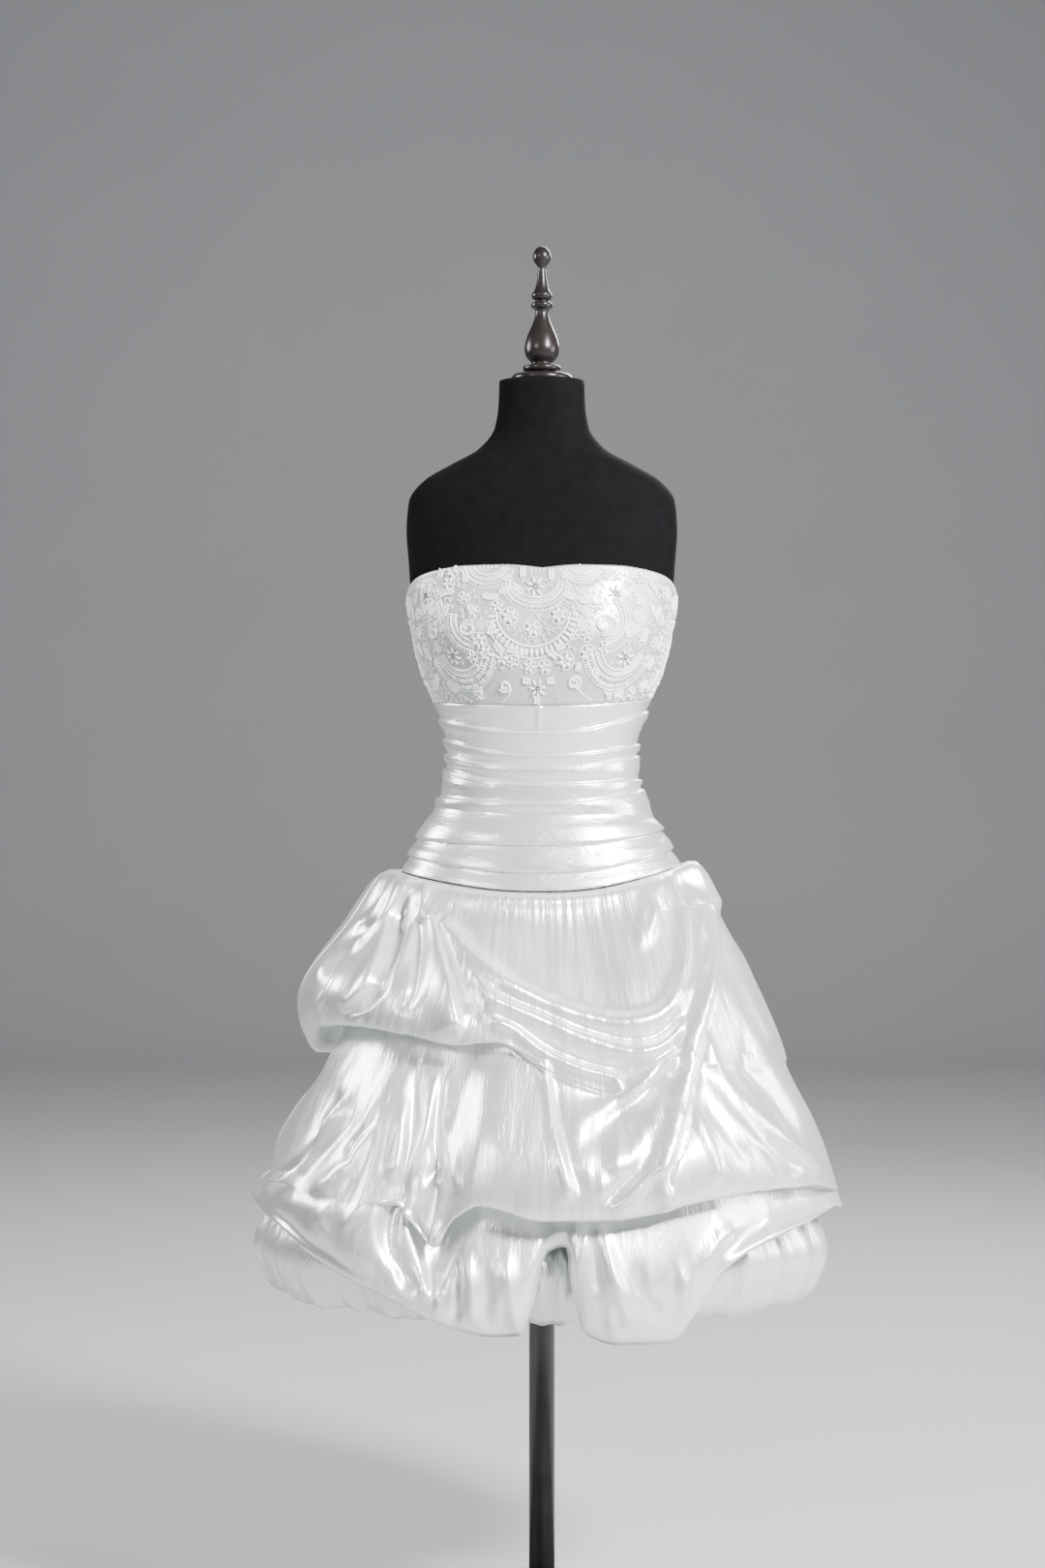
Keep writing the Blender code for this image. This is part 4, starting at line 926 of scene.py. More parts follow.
# %% Folds, as seen
FRONT_FOLDS = (
    # rise, width to the left and right of its line, lean, and the points down its line, all in mm
    (8, 6, 6, 0, (-178, 930), (-187, 904), (-197, 879), (-216, 864)),
    (-6, 6, 6, 0, (-187, 922), (-202, 892), (-218, 872)),
    (-8, 6, 7, 0, (-168, 916), (-181, 904), (-188, 880), (-198, 862), (-238, 840), (-281, 800)),
    (6, 5, 5, 0, (-163, 915), (-179, 903), (-186, 874), (-206, 848), (-240, 820), (-266, 780),
     (-281, 744)),
    (7, 7, 7, 0, (-194, 869), (-226, 854), (-258, 820), (-286, 780)),
    (-6, 6, 6, 0, (-226, 832), (-258, 802), (-286, 752)),
    (13, 7, 15, 4, (-158, 911), (-176, 888), (-191, 860), (-204, 814), (-226, 771), (-250, 747)),
    (-10, 6, 6, 0, (-160, 905), (-174, 874), (-179, 832), (-194, 790), (-211, 768), (-250, 740)),
    (7, 7, 7, 0, (-157, 904), (-163, 868), (-163, 840), (-190, 796), (-216, 764)),
    (-7, 7, 7, 0, (-155, 908), (-156, 868), (-154, 832), (-161, 778), (-180, 744)),
    (15, 8, 20, 5, (-153, 906), (-138, 858), (-126, 804), (-115, 756), (-106, 712)),
    (-10, 7, 9, 0, (-149, 907), (-127, 851), (-110, 797), (-92, 743)),
    (-7, 8, 8, 0, (-143, 900), (-130, 868), (-106, 826), (-86, 778), (-82, 730)),
    (11, 9, 16, -3, (-149, 911), (-130, 872), (-101, 832), (-61, 794), (-12, 765), (49, 743), (103, 736),
     (144, 748), (168, 782), (176, 838), (172, 899)),
    (-6, 6, 8, 0, (-121, 855), (-93, 813), (-57, 775), (0, 747), (52, 727), (108, 715), (146, 724),
     (172, 753)),
    (11, 8, 16, -3, (-146, 899), (-115, 845), (-89, 800), (-57, 762), (8, 735), (52, 717), (110, 701),
     (144, 706), (172, 731), (190, 773), (198, 838), (186, 906)),
    (-7, 9, 9, 0, (-66, 754), (-30, 730), (7, 706), (55, 686), (102, 678), (144, 692), (172, 728)),
    (8, 6, 9, 0, (-72, 740), (-36, 728), (0, 700), (46, 678), (89, 666), (92, 644)),
    (6, 5, 7, 0, (151, 915), (146, 898), (139, 868), (127, 820)),
    (4, 6, 6, 0, (134, 908), (125, 868), (120, 820)),
    (-10, 5, 5, 0, (166, 926), (173, 908), (179, 880), (182, 844), (181, 802), (168, 766)),
    (-7, 5, 6, 0, (168, 930), (187, 904), (194, 874), (199, 850), (191, 796), (173, 730), (158, 688)),
    (14, 7, 9, 6, (168, 933), (187, 921), (200, 896), (208, 862), (206, 814), (194, 754), (182, 706),
     (174, 646), (164, 610), (156, 574), (145, 550), (146, 526), (151, 497)),
    (-10, 6, 6, 0, (202, 880), (212, 850), (211, 802), (200, 748), (188, 694), (181, 640), (170, 604),
     (161, 568), (151, 544), (154, 520)),
    (4, 7, 7, 0, (182, 932), (199, 912), (212, 886), (218, 856)),
    (7, 8, 8, 0, (218, 852), (245, 790), (270, 736), (288, 700)),
    (-4, 9, 9, 0, (211, 850), (230, 790), (250, 730), (259, 682)),
    (7, 7, 9, 3, (194, 730), (222, 658), (271, 610), (308, 579), (350, 548)),
    (-6, 7, 8, 0, (202, 682), (246, 622), (288, 581), (326, 548)),
    (4, 5, 5, 0, (222, 628), (250, 604), (278, 574), (306, 543)),
    (4, 6, 6, 0, (182, 634), (202, 592), (214, 556), (218, 532)),
    (-4, 7, 7, 0, (194, 646), (230, 598), (258, 556)),
    (6, 10, 10, 0, (222, 802), (258, 718), (295, 658), (334, 600)),
    (-6, 9, 9, 0, (240, 694), (282, 646), (324, 586)),
    (10, 7, 8, 3, (172, 696), (144, 682), (114, 652), (86, 632), (54, 612), (34, 596)),
    (-8, 7, 7, 0, (156, 672), (120, 644), (90, 620), (60, 598), (34, 588)),
    (6, 5, 6, 0, (125, 636), (104, 612), (92, 586), (89, 562)),
    (10, 6, 8, 3, (154, 648), (137, 610), (115, 578), (96, 562), (72, 555)),
    (-8, 6, 6, 0, (158, 628), (144, 596), (125, 558), (96, 528), (74, 502)),
    (11, 7, 7, 3, (169, 634), (156, 604), (139, 562), (110, 526), (73, 498)),
    (7, 5, 7, 0, (0, 694), (7, 646), (17, 586), (28, 544), (32, 508)),
    (-4, 6, 6, 0, (12, 658), (19, 610), (34, 556), (53, 516)),
    (4, 5, 5, 0, (70, 556), (72, 532), (74, 508)),
    (10, 6, 7, 0, (-276, 725), (-265, 704), (-245, 670), (-239, 644)),
    (13, 10, 5, 0, (-238, 648), (-258, 616), (-282, 585), (-302, 556), (-322, 538), (-348, 533)),
    (-8, 5, 6, 0, (-252, 646), (-271, 610), (-289, 576), (-312, 552), (-343, 536)),
    (-6, 9, 9, 0, (-226, 640), (-252, 600), (-286, 564), (-314, 533)),
    (7, 12, 9, 0, (-194, 670), (-210, 622), (-230, 574), (-258, 544), (-290, 519)),
    (-6, 5, 5, 0, (-198, 634), (-218, 602), (-238, 578), (-244, 552)),
    (4, 6, 6, 0, (-186, 682), (-197, 622), (-211, 556), (-228, 508), (-252, 472)),
    (-9, 11, 10, 0, (-156, 700), (-163, 646), (-164, 610), (-170, 572), (-176, 530), (-184, 506),
     (-193, 485), (-190, 454), (-175, 428), (-163, 396)),
    (8, 7, 14, 4, (-170, 688), (-173, 634), (-180, 574), (-190, 536)),
    (7, 5, 6, 0, (-137, 670), (-139, 624), (-146, 596), (-161, 562), (-173, 533)),
    (-10, 5, 5, 0, (-126, 676), (-131, 622), (-132, 574), (-134, 550), (-149, 536)),
    (6, 8, 8, 0, (-116, 670), (-118, 610), (-113, 562), (-104, 519)),
    (7, 7, 7, 0, (-180, 520), (-168, 478), (-157, 444), (-150, 411), (-145, 388)),
    (-5, 8, 8, 0, (-169, 502), (-156, 466), (-143, 428), (-134, 388)),
    (7, 6, 6, 0, (-128, 488), (-133, 464), (-137, 442)),
    (-4, 6, 6, 0, (-336, 502), (-300, 468), (-258, 440), (-204, 404)),
    (3, 6, 6, 0, (-258, 514), (-276, 488), (-258, 454)),
    (7, 6, 7, 0, (-96, 472), (-92, 430), (-88, 388), (-91, 356)),
    (-6, 6, 6, 0, (-110, 466), (-108, 418), (-108, 380), (-114, 356)),
    (-6, 6, 6, 0, (-74, 442), (-70, 400), (-73, 358)),
    (7, 7, 9, 0, (-46, 454), (-43, 406), (-36, 368), (-31, 353)),
    (4, 5, 5, 0, (-60, 406), (-58, 382), (-62, 356)),
    (6, 5, 5, 0, (-136, 406), (-130, 388), (-130, 368)),
    (10, 6, 7, 0, (50, 483), (49, 454), (37, 420), (34, 382)),
    (-8, 6, 6, 0, (62, 478), (65, 430), (68, 388)),
    (11, 6, 8, 0, (72, 480), (84, 430), (98, 388), (104, 356)),
    (6, 5, 6, 0, (79, 394), (84, 364), (86, 341)),
    (-8, 6, 7, 0, (114, 442), (122, 406), (139, 380), (149, 368)),
    (4, 5, 5, 0, (125, 424), (134, 400), (146, 375)),
    (-6, 5, 5, 0, (158, 435), (162, 416), (156, 396)),
    (7, 7, 7, 0, (170, 432), (175, 400), (168, 368)),
    (6, 9, 9, 0, (240, 488), (210, 454), (194, 418)),
    (-6, 9, 9, 0, (288, 492), (250, 468), (218, 442)),
)
BACK_FOLDS = (
    # the same, as seen from behind
    (13, 12, 16, -4, (-150, 900), (-110, 800), (-60, 745), (0, 730), (60, 745), (110, 800), (150, 900)),
    (10, 12, 14, -3, (-150, 905), (-90, 850), (0, 815), (90, 850), (150, 905)),
    (7, 8, 10, -3, (-120, 880), (-70, 800), (-10, 776), (70, 806), (118, 870)),
    (11, 10, 15, -4, (-134, 740), (-100, 660), (0, 625), (100, 660), (134, 740)),
    (7, 8, 10, 0, (-128, 735), (-84, 690), (-8, 664), (80, 688), (128, 735)),
    (11, 10, 15, 4, (-140, 740), (-190, 660), (-262, 620)),
    (11, 15, 10, -4, (140, 740), (190, 660), (262, 620)),
    (7, 8, 9, 0, (-150, 740), (-196, 700), (-250, 672)),
    (7, 8, 9, 0, (148, 738), (200, 704), (254, 668)),
    (10, 12, 15, -3, (-160, 630), (-130, 560), (0, 520), (130, 560), (160, 630)),
    (6, 8, 9, 0, (-150, 622), (-96, 576), (0, 556), (100, 580), (152, 624)),
    (-10, 9, 9, 0, (-166, 905), (-186, 810), (-170, 740)),
    (-10, 9, 9, 0, (166, 905), (186, 810), (170, 740)),
    (11, 14, 10, 0, (-172, 905), (-236, 820), (-280, 760)),
    (11, 10, 14, 0, (172, 905), (236, 820), (280, 760)),
    (8, 7, 9, 3, (-134, 738), (-126, 800), (-110, 900)),
    (10, 7, 9, 3, (-134, 738), (-146, 815), (-150, 900)),
    (6, 8, 8, 0, (-136, 740), (-104, 795), (-70, 860), (-52, 905)),
    (-7, 8, 8, 0, (-140, 742), (-172, 800), (-196, 868)),
    (8, 9, 7, -3, (134, 738), (122, 806), (104, 902)),
    (10, 9, 7, -3, (135, 738), (150, 820), (146, 900)),
    (6, 8, 8, 0, (138, 742), (108, 800), (60, 868), (40, 904)),
    (-7, 8, 8, 0, (142, 742), (178, 806), (204, 862)),
    (4, 10, 10, 0, (-10, 745), (-6, 800), (-14, 880)),
    (8, 7, 9, 3, (-171, 628), (-186, 668), (-216, 712)),
    (7, 7, 9, 3, (-171, 628), (-150, 672), (-140, 706)),
    (8, 9, 7, -3, (171, 626), (188, 672), (224, 706)),
    (7, 9, 7, -3, (171, 626), (152, 668), (138, 704)),
    (8, 9, 10, 3, (-171, 620), (-214, 566), (-262, 545)),
    (8, 10, 9, -3, (171, 618), (218, 570), (270, 540)),
    (6, 8, 9, 0, (-182, 530), (-120, 500), (-40, 486), (40, 490), (120, 506), (182, 532)),
    (6, 8, 8, 0, (-240, 545), (-262, 520), (-300, 508)),
    (6, 8, 8, 0, (240, 540), (266, 516), (304, 510)),
)
print("folds:", len(FRONT_FOLDS), "in front and", len(BACK_FOLDS), "behind")

# %% How far the folds lift the cloth
FOLD_MOST = 0.026  # where folds meet, their lift levels off towards this
FOLD_FADE = 0.024  # length over which a fold dies away at each end
FOLD_REACH = 2.6  # no lift beyond this many widths from its line
FACING, FACING_SPAN = 0.02, 0.22  # a fold dies away where the skirt turns from its view


def curve_through(points, per_span):
    """A smooth curve through points, with this many steps between two of them."""
    points = np.array(points, float)
    rows, _ = followed(points, [0] * len(points), [per_span] * (len(points) - 1))
    return rows


def fold_rise(seen, line, rise, left, right, lean):
    """How far one fold lifts the cloth at each seen place, and moves it sideways in the picture."""
    best = np.full(len(seen), 1.0)
    share, side, turn = np.zeros(len(seen)), np.ones(len(seen)), np.zeros((len(seen), 2))
    for i, (a, b) in enumerate(zip(line, line[1:])):
        run = b - a
        t = np.clip(((seen - a) @ run) / (run @ run), 0, 1)
        away = seen - (a + t[:, None] * run)
        distance = np.hypot(away[:, 0], away[:, 1])
        nearer = distance < best
        best = np.where(nearer, distance, best)
        share = np.where(nearer, (i + t) / (len(line) - 1), share)
        side = np.where(nearer, run[0] * away[:, 1] - run[1] * away[:, 0], side)
        turn[nearer] = np.array((-run[1], run[0])) / np.hypot(*run)
    width = np.where(side > 0, left, right) * MM
    length = np.linalg.norm(np.diff(line, axis=0), axis=1).sum()
    ends = smooth_step(np.minimum(share, 1 - share) * length / FOLD_FADE)
    shape = ends * np.exp(-((best / width) ** 2))
    return rise * MM * shape, turn * (lean * MM * shape)[:, None]


def seen_in_front(places):
    """Across and up as the camera sees places, at the pole's distance."""
    closer = EYE_DISTANCE / (EYE_DISTANCE + places[:, 1])
    return np.stack([places[:, 0] * closer, mix(EYE_HEIGHT, places[:, 2], closer)], axis=1)


def seen_behind(places):
    return np.stack([-places[:, 0], places[:, 2]], axis=1)


def folds_at(places, bearings):
    """How far all the folds lift the cloth at each place of a grid, and how far they move it sideways."""
    flat = places.reshape(-1, 3)
    ahead = np.cos(np.radians(np.broadcast_to(bearings, places.shape[:2]).reshape(-1)))
    total, shift = np.zeros(len(flat)), np.zeros((len(flat), 3))
    for folds, seen_from, side in ((FRONT_FOLDS, seen_in_front, 1), (BACK_FOLDS, seen_behind, -1)):
        strength = smooth_step((side * ahead - FACING) / FACING_SPAN)
        near = np.nonzero(strength > 0)[0]
        seen = seen_from(flat[near])
        for rise, left, right, lean, *points in folds:
            line = curve_through(points, 8) * MM
            reach = FOLD_REACH * max(left, right) * MM
            low, high = line.min(axis=0) - reach, line.max(axis=0) + reach
            inside = np.nonzero(np.all((seen > low) & (seen < high), axis=1))[0]
            lift, move = fold_rise(seen[inside], line, rise, left, right, lean)
            at = near[inside]
            total[at] += strength[at] * lift
            shift[at, 0] += side * strength[at] * move[:, 0]
            shift[at, 2] += strength[at] * move[:, 1]
    total = FOLD_MOST * np.tanh(total / FOLD_MOST)
    return total.reshape(places.shape[:2]), shift.reshape(places.shape)


print("folds level off at", FOLD_MOST, "m")

# %% Rows and columns of the skirt
SKIRT_STEPS = (3, 5, 33, 32, 4, 4, 8, 18, 4, 4, 9, 10, 3, 3)  # rows after each point down the cloth
SPANS = {  # bearings from and to, and the columns between them
    "skirt_front": ((-84, -74, 14), (-74, -12, 150), (-12, 26, 66), (26, 64, 92), (64, 84, 27)),
    "skirt_back": ((84, 276, 215),),
}


def spaced(spans):
    """Bearings with the given number of steps in each span."""
    parts = [np.linspace(start, end, steps, endpoint=False) for start, end, steps in spans]
    return np.concatenate([*parts, [spans[-1][1]]])


def softened(field):
    """Each value mixed with those above, below, left and right of it."""
    for axis in (0, 1):
        ends = [(1, 1) if k == axis else (0, 0) for k in range(field.ndim)]
        wide = np.moveaxis(np.pad(field, ends, mode="edge"), axis, 0)
        field = np.moveaxis(0.25 * wide[:-2] + 0.5 * wide[1:-1] + 0.25 * wide[2:], 0, axis)
    return field


def crumple(places):
    """Small soft unevenness of stiff cloth, drawn out along its fall."""
    flat = places.reshape(-1, 3)
    fan = flat[:, 0] / (FAN_HEIGHT - flat[:, 2])
    back = np.sign(flat[:, 1]) * 7
    rise = [
        0.0011 * noise.noise((u * 30, b + z * 7, 0)) + 0.0006 * noise.noise((u * 75, b + z * 16, 4))
        for u, z, b in zip(fan, flat[:, 2], back)
    ]
    return np.array(rise).reshape(places.shape[:2])


def skirt_places(bearings):
    """The skirt's places with its folds: a row at each step down, a column at each bearing."""
    profile, weights = followed(skirt_profile(bearings), fold_shares(bearings), SKIRT_STEPS)
    across = np.broadcast_to(bearings, profile.shape[:2])
    places = around(across, profile[:, :, 0], profile[:, :, 1])
    normals = grid_normals(places)
    rise, shift = folds_at(places, bearings)
    rise, shift = softened(rise), softened(shift)
    shift -= normals * (shift * normals).sum(axis=2, keepdims=True)
    lifted = places + (normals * rise[:, :, None] + shift) * weights[:, :, None]
    lifted += grid_normals(lifted) * (crumple(lifted) * weights)[:, :, None]
    return lifted


print("rows:", sum(SKIRT_STEPS) + 1)

# %% Skirt panels
SKIRT_LENGTH = 0.88
for name, spans in SPANS.items():
    places = skirt_places(spaced(spans))
    panel = cloth_grid(name + "_satin", places, SHEET_WALL)
    panel.data.materials.append(skirt_satin)
    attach(panel, "root")
    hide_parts(name)
    flat = (round(cloth_area(places) / SKIRT_LENGTH, 3), SKIRT_LENGTH)
    print(panel.name, len(panel.data.polygons), "faces, cut", *flat, "m")

# %% [markdown]
# ## Underskirt
# Under the poufs hangs a plainer skirt whose hem is gathered and turned up inside, so that it stands out
# as a puff. It shows at both sides, below the picked-up cloth.

# %% Shape of the underskirt
UNDER = lines_of("bearing belly hem", (
    (-178, 0.306, 0.404), (-130, 0.318, 0.408), (-95, 0.348, 0.408), (-78, 0.341, 0.408), (-60, 0.314, 0.408),
    (-45, 0.290, 0.406), (-30, 0.272, 0.408), (-15, 0.262, 0.407), (0, 0.256, 0.405), (15, 0.258, 0.406),
    (30, 0.268, 0.406), (45, 0.294, 0.404), (60, 0.325, 0.405), (78, 0.346, 0.408), (95, 0.348, 0.412),
    (130, 0.318, 0.408),
), 360)
UNDER_FALL = ((0.112, 0.655), (0.050, 0.556), (0.000, 0.480))  # inward from the belly, and height
UNDER_HEM = ((0.006, 0.024), (0.026, 0.000), (0.046, 0.020))  # inward from the belly, and up from the hem
UNDER_TOP_DROP = 0.016


def under_profile(bearings):
    """The (radius, height) points down the underskirt at each bearing."""
    belly, hem = UNDER["belly"](bearings), UNDER["hem"](bearings)
    top_height = pleat_height(PLEATS[-1], bearings) - UNDER_TOP_DROP
    top = np.stack([body_radius(bearings, top_height) + FIGURE_GAP + WALL, top_height], axis=-1)
    fall = [np.stack([belly - inward, height + 0 * belly], axis=-1) for inward, height in UNDER_FALL]
    turned_in = [np.stack([belly - inward, hem + up], axis=-1) for inward, up in UNDER_HEM]
    return np.array([top, mix(top, fall[0], BULGE_AT), *fall, *turned_in])


print("hem stands out", float(UNDER["belly"](0)), "m in front")

# %% Gathers of the underskirt
UNDER_SHARES, UNDER_STEPS = (0.0, 0.2, 0.4, 0.6, 1.0, 0.9, 0.6, 0.3), (8, 10, 14, 16, 12, 10, 8)
GATHERS = ((4.5, 15, 3, 0), (2.2, 41, 4, 300), (1.4, 73, 7, 0))  # rise in mm, number, wandering and slant
UNDER_LENGTH = 0.66

under_bearings = np.linspace(-180, 180, 301)
under_rows, under_shares = followed(under_profile(under_bearings), UNDER_SHARES, UNDER_STEPS)
across = np.broadcast_to(under_bearings, under_rows.shape[:2])
under_places = around(across, under_rows[:, :, 0], under_rows[:, :, 1])
wander = 14 * np.sin(np.radians(across * 2 + 20)) + 9 * np.sin(np.radians(across * 5 + 70))
gathers = sum(
    rise * MM * np.sin(np.radians(across * number + stray * wander + slant * under_rows[:, :, 1]))
    for rise, number, stray, slant in GATHERS
)
under_places = under_places + grid_normals(under_places) * (gathers * under_shares[:, None])[:, :, None]
under_places[:, -1] = under_places[:, 0]
underskirt = cloth_grid("underskirt_satin", under_places, SHEET_WALL, closed=True)
underskirt.data.materials.append(under_satin)
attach(underskirt, "root")
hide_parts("underskirt")
under_flat = (round(cloth_area(under_places) / UNDER_LENGTH, 3), UNDER_LENGTH)
print("underskirt cut", *under_flat, "m")

# %% Bust sheets
for panel, area, length in bust_pieces:
    flat = (round(area / length, 3), length)
    print(panel.name, "cut", *flat, "m")

# %% [markdown]
# ## Corded lace
# Corded lace is a net on which shapes are worked and then outlined with a raised cord. It is laid out
# flat here first: `s` runs round the bust in millimetres from the centre front and `t` is the height in
# millimetres. Small builders add cords, petals and beads to shared lists for each kind of motif. At the
# end the lists are wrapped onto the bust, and each becomes one joined mesh. The front follows a table;
# sides and back repeat scallops in a plainer rhythm. Towards its lower edge the lace thins out and the
# satin shows.

# %% From the flat lace to the bust
ARC_HEIGHT = 1.215  # the lengths round the bust are measured here
ARC_BEARINGS = np.linspace(-180, 180, 1441)
arc_places = around(ARC_BEARINGS, bodice_radius(ARC_BEARINGS, ARC_HEIGHT), ARC_HEIGHT)
ARC = np.concatenate([[0], np.cumsum(np.linalg.norm(np.diff(arc_places, axis=0), axis=1))])
ARC -= ARC[len(ARC) // 2]


def bearing_at(s):
    """The bearing of a place s millimetres round from the centre front."""
    return np.interp(np.asarray(s) * MM, ARC, ARC_BEARINGS)


def top_at(s):
    """The height of the bust's top edge there, in millimetres."""
    return TOP_EDGE(np.abs(bearing_at(s))) / MM


def on_bust(flat, above=0.0):
    """Flat places (s, t) brought onto the bust, above millimetres out from the satin."""
    s, t = np.asarray(flat, float).reshape(-1, 2).T * MM
    bearing = np.interp(s, ARC, ARC_BEARINGS)
    return around(bearing, bodice_radius(bearing, t) + bust_crease(bearing, t) + above * MM, t)


def bust_frames(flat):
    """The directions along s, along t and outward at each flat place."""
    flat = np.asarray(flat, float)
    here = on_bust(flat)
    east, up = on_bust(flat + (0.5, 0)) - here, on_bust(flat + (0, 0.5)) - here
    east /= np.linalg.norm(east, axis=1, keepdims=True)
    out = np.cross(east, up)
    out /= np.linalg.norm(out, axis=1, keepdims=True)
    return east, np.cross(out, east), out


print("bust measures", round(float(2 * ARC[-1]) / MM), "mm round")

# %% Lists that the motifs fill
cords, petals, beads, crystals = [], [], [], []


def out_from(s, t, reach, angle):
    """The place so far out from (s, t), at an angle in degrees."""
    return s + reach * cos(radians(angle)), t + reach * sin(radians(angle))


def arc_path(s, t, wide, tall, start, end, step=1.6):
    """Points along part of an ellipse. Angles are in degrees, 0 to the right and 90 up."""
    count = max(4, ceil(abs(radians(end - start)) * max(wide, tall) / step))
    angle = np.radians(np.linspace(start, end, count))
    return np.stack([s + wide * np.cos(angle), t + tall * np.sin(angle)], axis=1)


def cord(path, radius=0.8):
    cords.append((np.asarray(path, float), radius))


def petal(s, t, angle, length=5.0, width=2.6, height=2.4):
    petals.append((s, t, angle, length, width, height))


def bead(s, t, radius=1.1):
    beads.append((s, t, 0, radius * 2, radius * 2, radius * 2))


def petal_row(s, t, wide, tall, start, end, length=5.5, width=2.6, pitch=3.3, lean=0):
    """Petals side by side along an arc, pointing outward."""
    path = arc_path(s, t, wide, tall, start, end, 0.5)
    run = np.linalg.norm(np.diff(path, axis=0), axis=1)
    along = np.concatenate([[0], np.cumsum(run)])
    for k, at in enumerate(np.arange(pitch / 2, along[-1], pitch)):
        x, y = np.interp(at, along, path[:, 0]), np.interp(at, along, path[:, 1])
        angle = degrees(atan2((y - t) * wide / tall, (x - s) * tall / wide)) + lean
        petal(x, y, angle, length * (1 + 0.12 * sin(2.4 * k)), width, 3.2 + 0.5 * sin(1.7 * k))


# %% Motifs
def scallop(s, t, wide, tall, start, end, rows=1):
    """Cords and a row of petals round part of an ellipse, with small beads at their feet."""
    cord(arc_path(s, t, wide, tall, start, end), 1.3)
    for out, radius in ((3.4, 0.9), (6.4, 1.5)):
        cord(arc_path(s, t, wide + out, tall + out, start, end), radius)
    for row in range(rows):
        out = 11.8 + 7.5 * row
        petal_row(s, t, wide + out, tall + out, start, end, 6.6, 3.1, 3.6, lean=14 * (-1) ** row)
    cord(arc_path(s, t, wide + 8.6 + 7.5 * rows, tall + 8.6 + 7.5 * rows, start, end), 0.8)
    for s_bead, t_bead in arc_path(s, t, wide + 7.4, tall + 7.4, start, end, 4.2):
        bead(s_bead, t_bead, 0.9)


def rosette(s, t, size, turn=0):
    """Five or six round petals in a ring of cord, about a bead."""
    count = 6 if size > 10 else 5
    for k in range(count):
        angle = turn + 360 * k / count
        petal(*out_from(s, t, 0.46 * size, angle), angle, 0.62 * size, 0.46 * size, 0.36 * size)
    bead(s, t, 0.15 * size)
    cord(arc_path(s, t, 0.84 * size, 0.84 * size, turn, turn + 300 + 60 * (size > 10)), 0.75)


def beaded_flower(s, t, size, turn=0):
    """Leaves round a cluster of crystals and beads."""
    for k in range(7):
        angle = turn + 360 * k / 7
        petal(*out_from(s, t, 0.50 * size, angle), angle, 0.56 * size, 0.27 * size, 3.4)
        near = angle + 26
        crystals.append((*out_from(s, t, 0.24 * size, near), near, 0.22 * size, 0.15 * size, 3.2))
    crystals.append((s, t, 0, 0.28 * size, 0.28 * size, 3.6))
    for k in range(10):
        bead(*out_from(s, t, 0.74 * size, turn + 36 * k + 10), 0.9)


def scroll(s, t, size, start, turns):
    """A cord that winds inward, doubled by a finer one."""
    for shrink, radius in ((1.0, 1.5), (0.74, 0.9)):
        share = np.linspace(0, 1, ceil(44 * turns))
        angle = np.radians(start + 360 * turns * share)
        reach = size * shrink * (1 - 0.72 * share)
        cord(np.stack([s + reach * np.cos(angle), t + 0.86 * reach * np.sin(angle)], axis=1), radius)
    bead(s, t, 1.0)


def spray(s, t, angle, length, bend=20):
    """A short curved stem with leaves in pairs and a bead at its tip."""
    share = np.linspace(0, 1, ceil(length / 1.4) + 2)
    heading = np.radians(angle + bend * (share - 0.5) * 2)
    step = length * (share[1] - share[0])
    path = np.cumsum(np.stack([np.cos(heading), np.sin(heading)], axis=1) * step, axis=0) + (s, t)
    cord(path, 0.8)
    for k in range(1, len(path) - 1, 2):
        for side in (-1, 1):
            toward = degrees(heading[k]) + side * 48
            petal(*out_from(*path[k], 3.0, toward), toward, 6.2 - 1.8 * k / len(path), 3.0, 3.0)
    bead(*path[-1], 1.4)


print("motifs: scallop, rosette, beaded flower, scroll and spray")

# %% Front of the lace
SCALLOPS = (
    # s, t, half its width and height in mm, start and end in degrees, rows of petals
    (-75, 1293, 20, 12, 190, 350, 1), (56, 1293, 20, 12, 190, 350, 1), (-9, 1273, 29, 20, 184, 356, 1),
    (-79, 1232, 31, 32, 176, 262, 1), (69, 1231, 29, 29, -78, 40, 1), (-107, 1195, 27, 29, 196, 348, 2),
    (101, 1197, 30, 30, 194, 344, 2),
)
ROSETTES = (
    # s, t and size in mm
    (-86, 1236, 9), (-57, 1242, 10), (-41, 1230, 13), (-13, 1215, 12), (19, 1232, 13), (68, 1242, 10),
    (28, 1177, 13), (55, 1186, 12), (74, 1192, 10), (-78, 1201, 12), (-71, 1186, 12), (-90, 1182, 9),
    (-82, 1169, 9), (-52, 1180, 10), (-38, 1176, 9), (-124, 1287, 11), (132, 1279, 12), (130, 1233, 10),
    (130, 1207, 11), (178, 1262, 11), (-103, 1254, 9), (-127, 1272, 10), (-142, 1259, 9), (52, 1207, 9),
    (37, 1209, 8), (-17, 1170, 10), (2, 1170, 10), (98, 1140, 9), (138, 1140, 9), (-96, 1137, 8),
    (118, 1137, 8), (-152, 1229, 8), (158, 1200, 9), (167, 1230, 9), (-141, 1196, 8), (-148, 1176, 9),
    (-172, 1220, 9), (-170, 1196, 8), (-136, 1150, 9), (-176, 1150, 8), (176, 1150, 9), (184, 1196, 8),
    (-48, 1276, 8), (33, 1279, 8), (-9, 1293, 7), (100, 1280, 9), (114, 1270, 7),
)
FLOWERS = (
    # s, t and size in mm
    (-10, 1266, 17), (108, 1182, 17), (97, 1258, 15), (162, 1263, 13), (-7, 1144, 15), (-117, 1184, 14),
    (-160, 1258, 13),
)
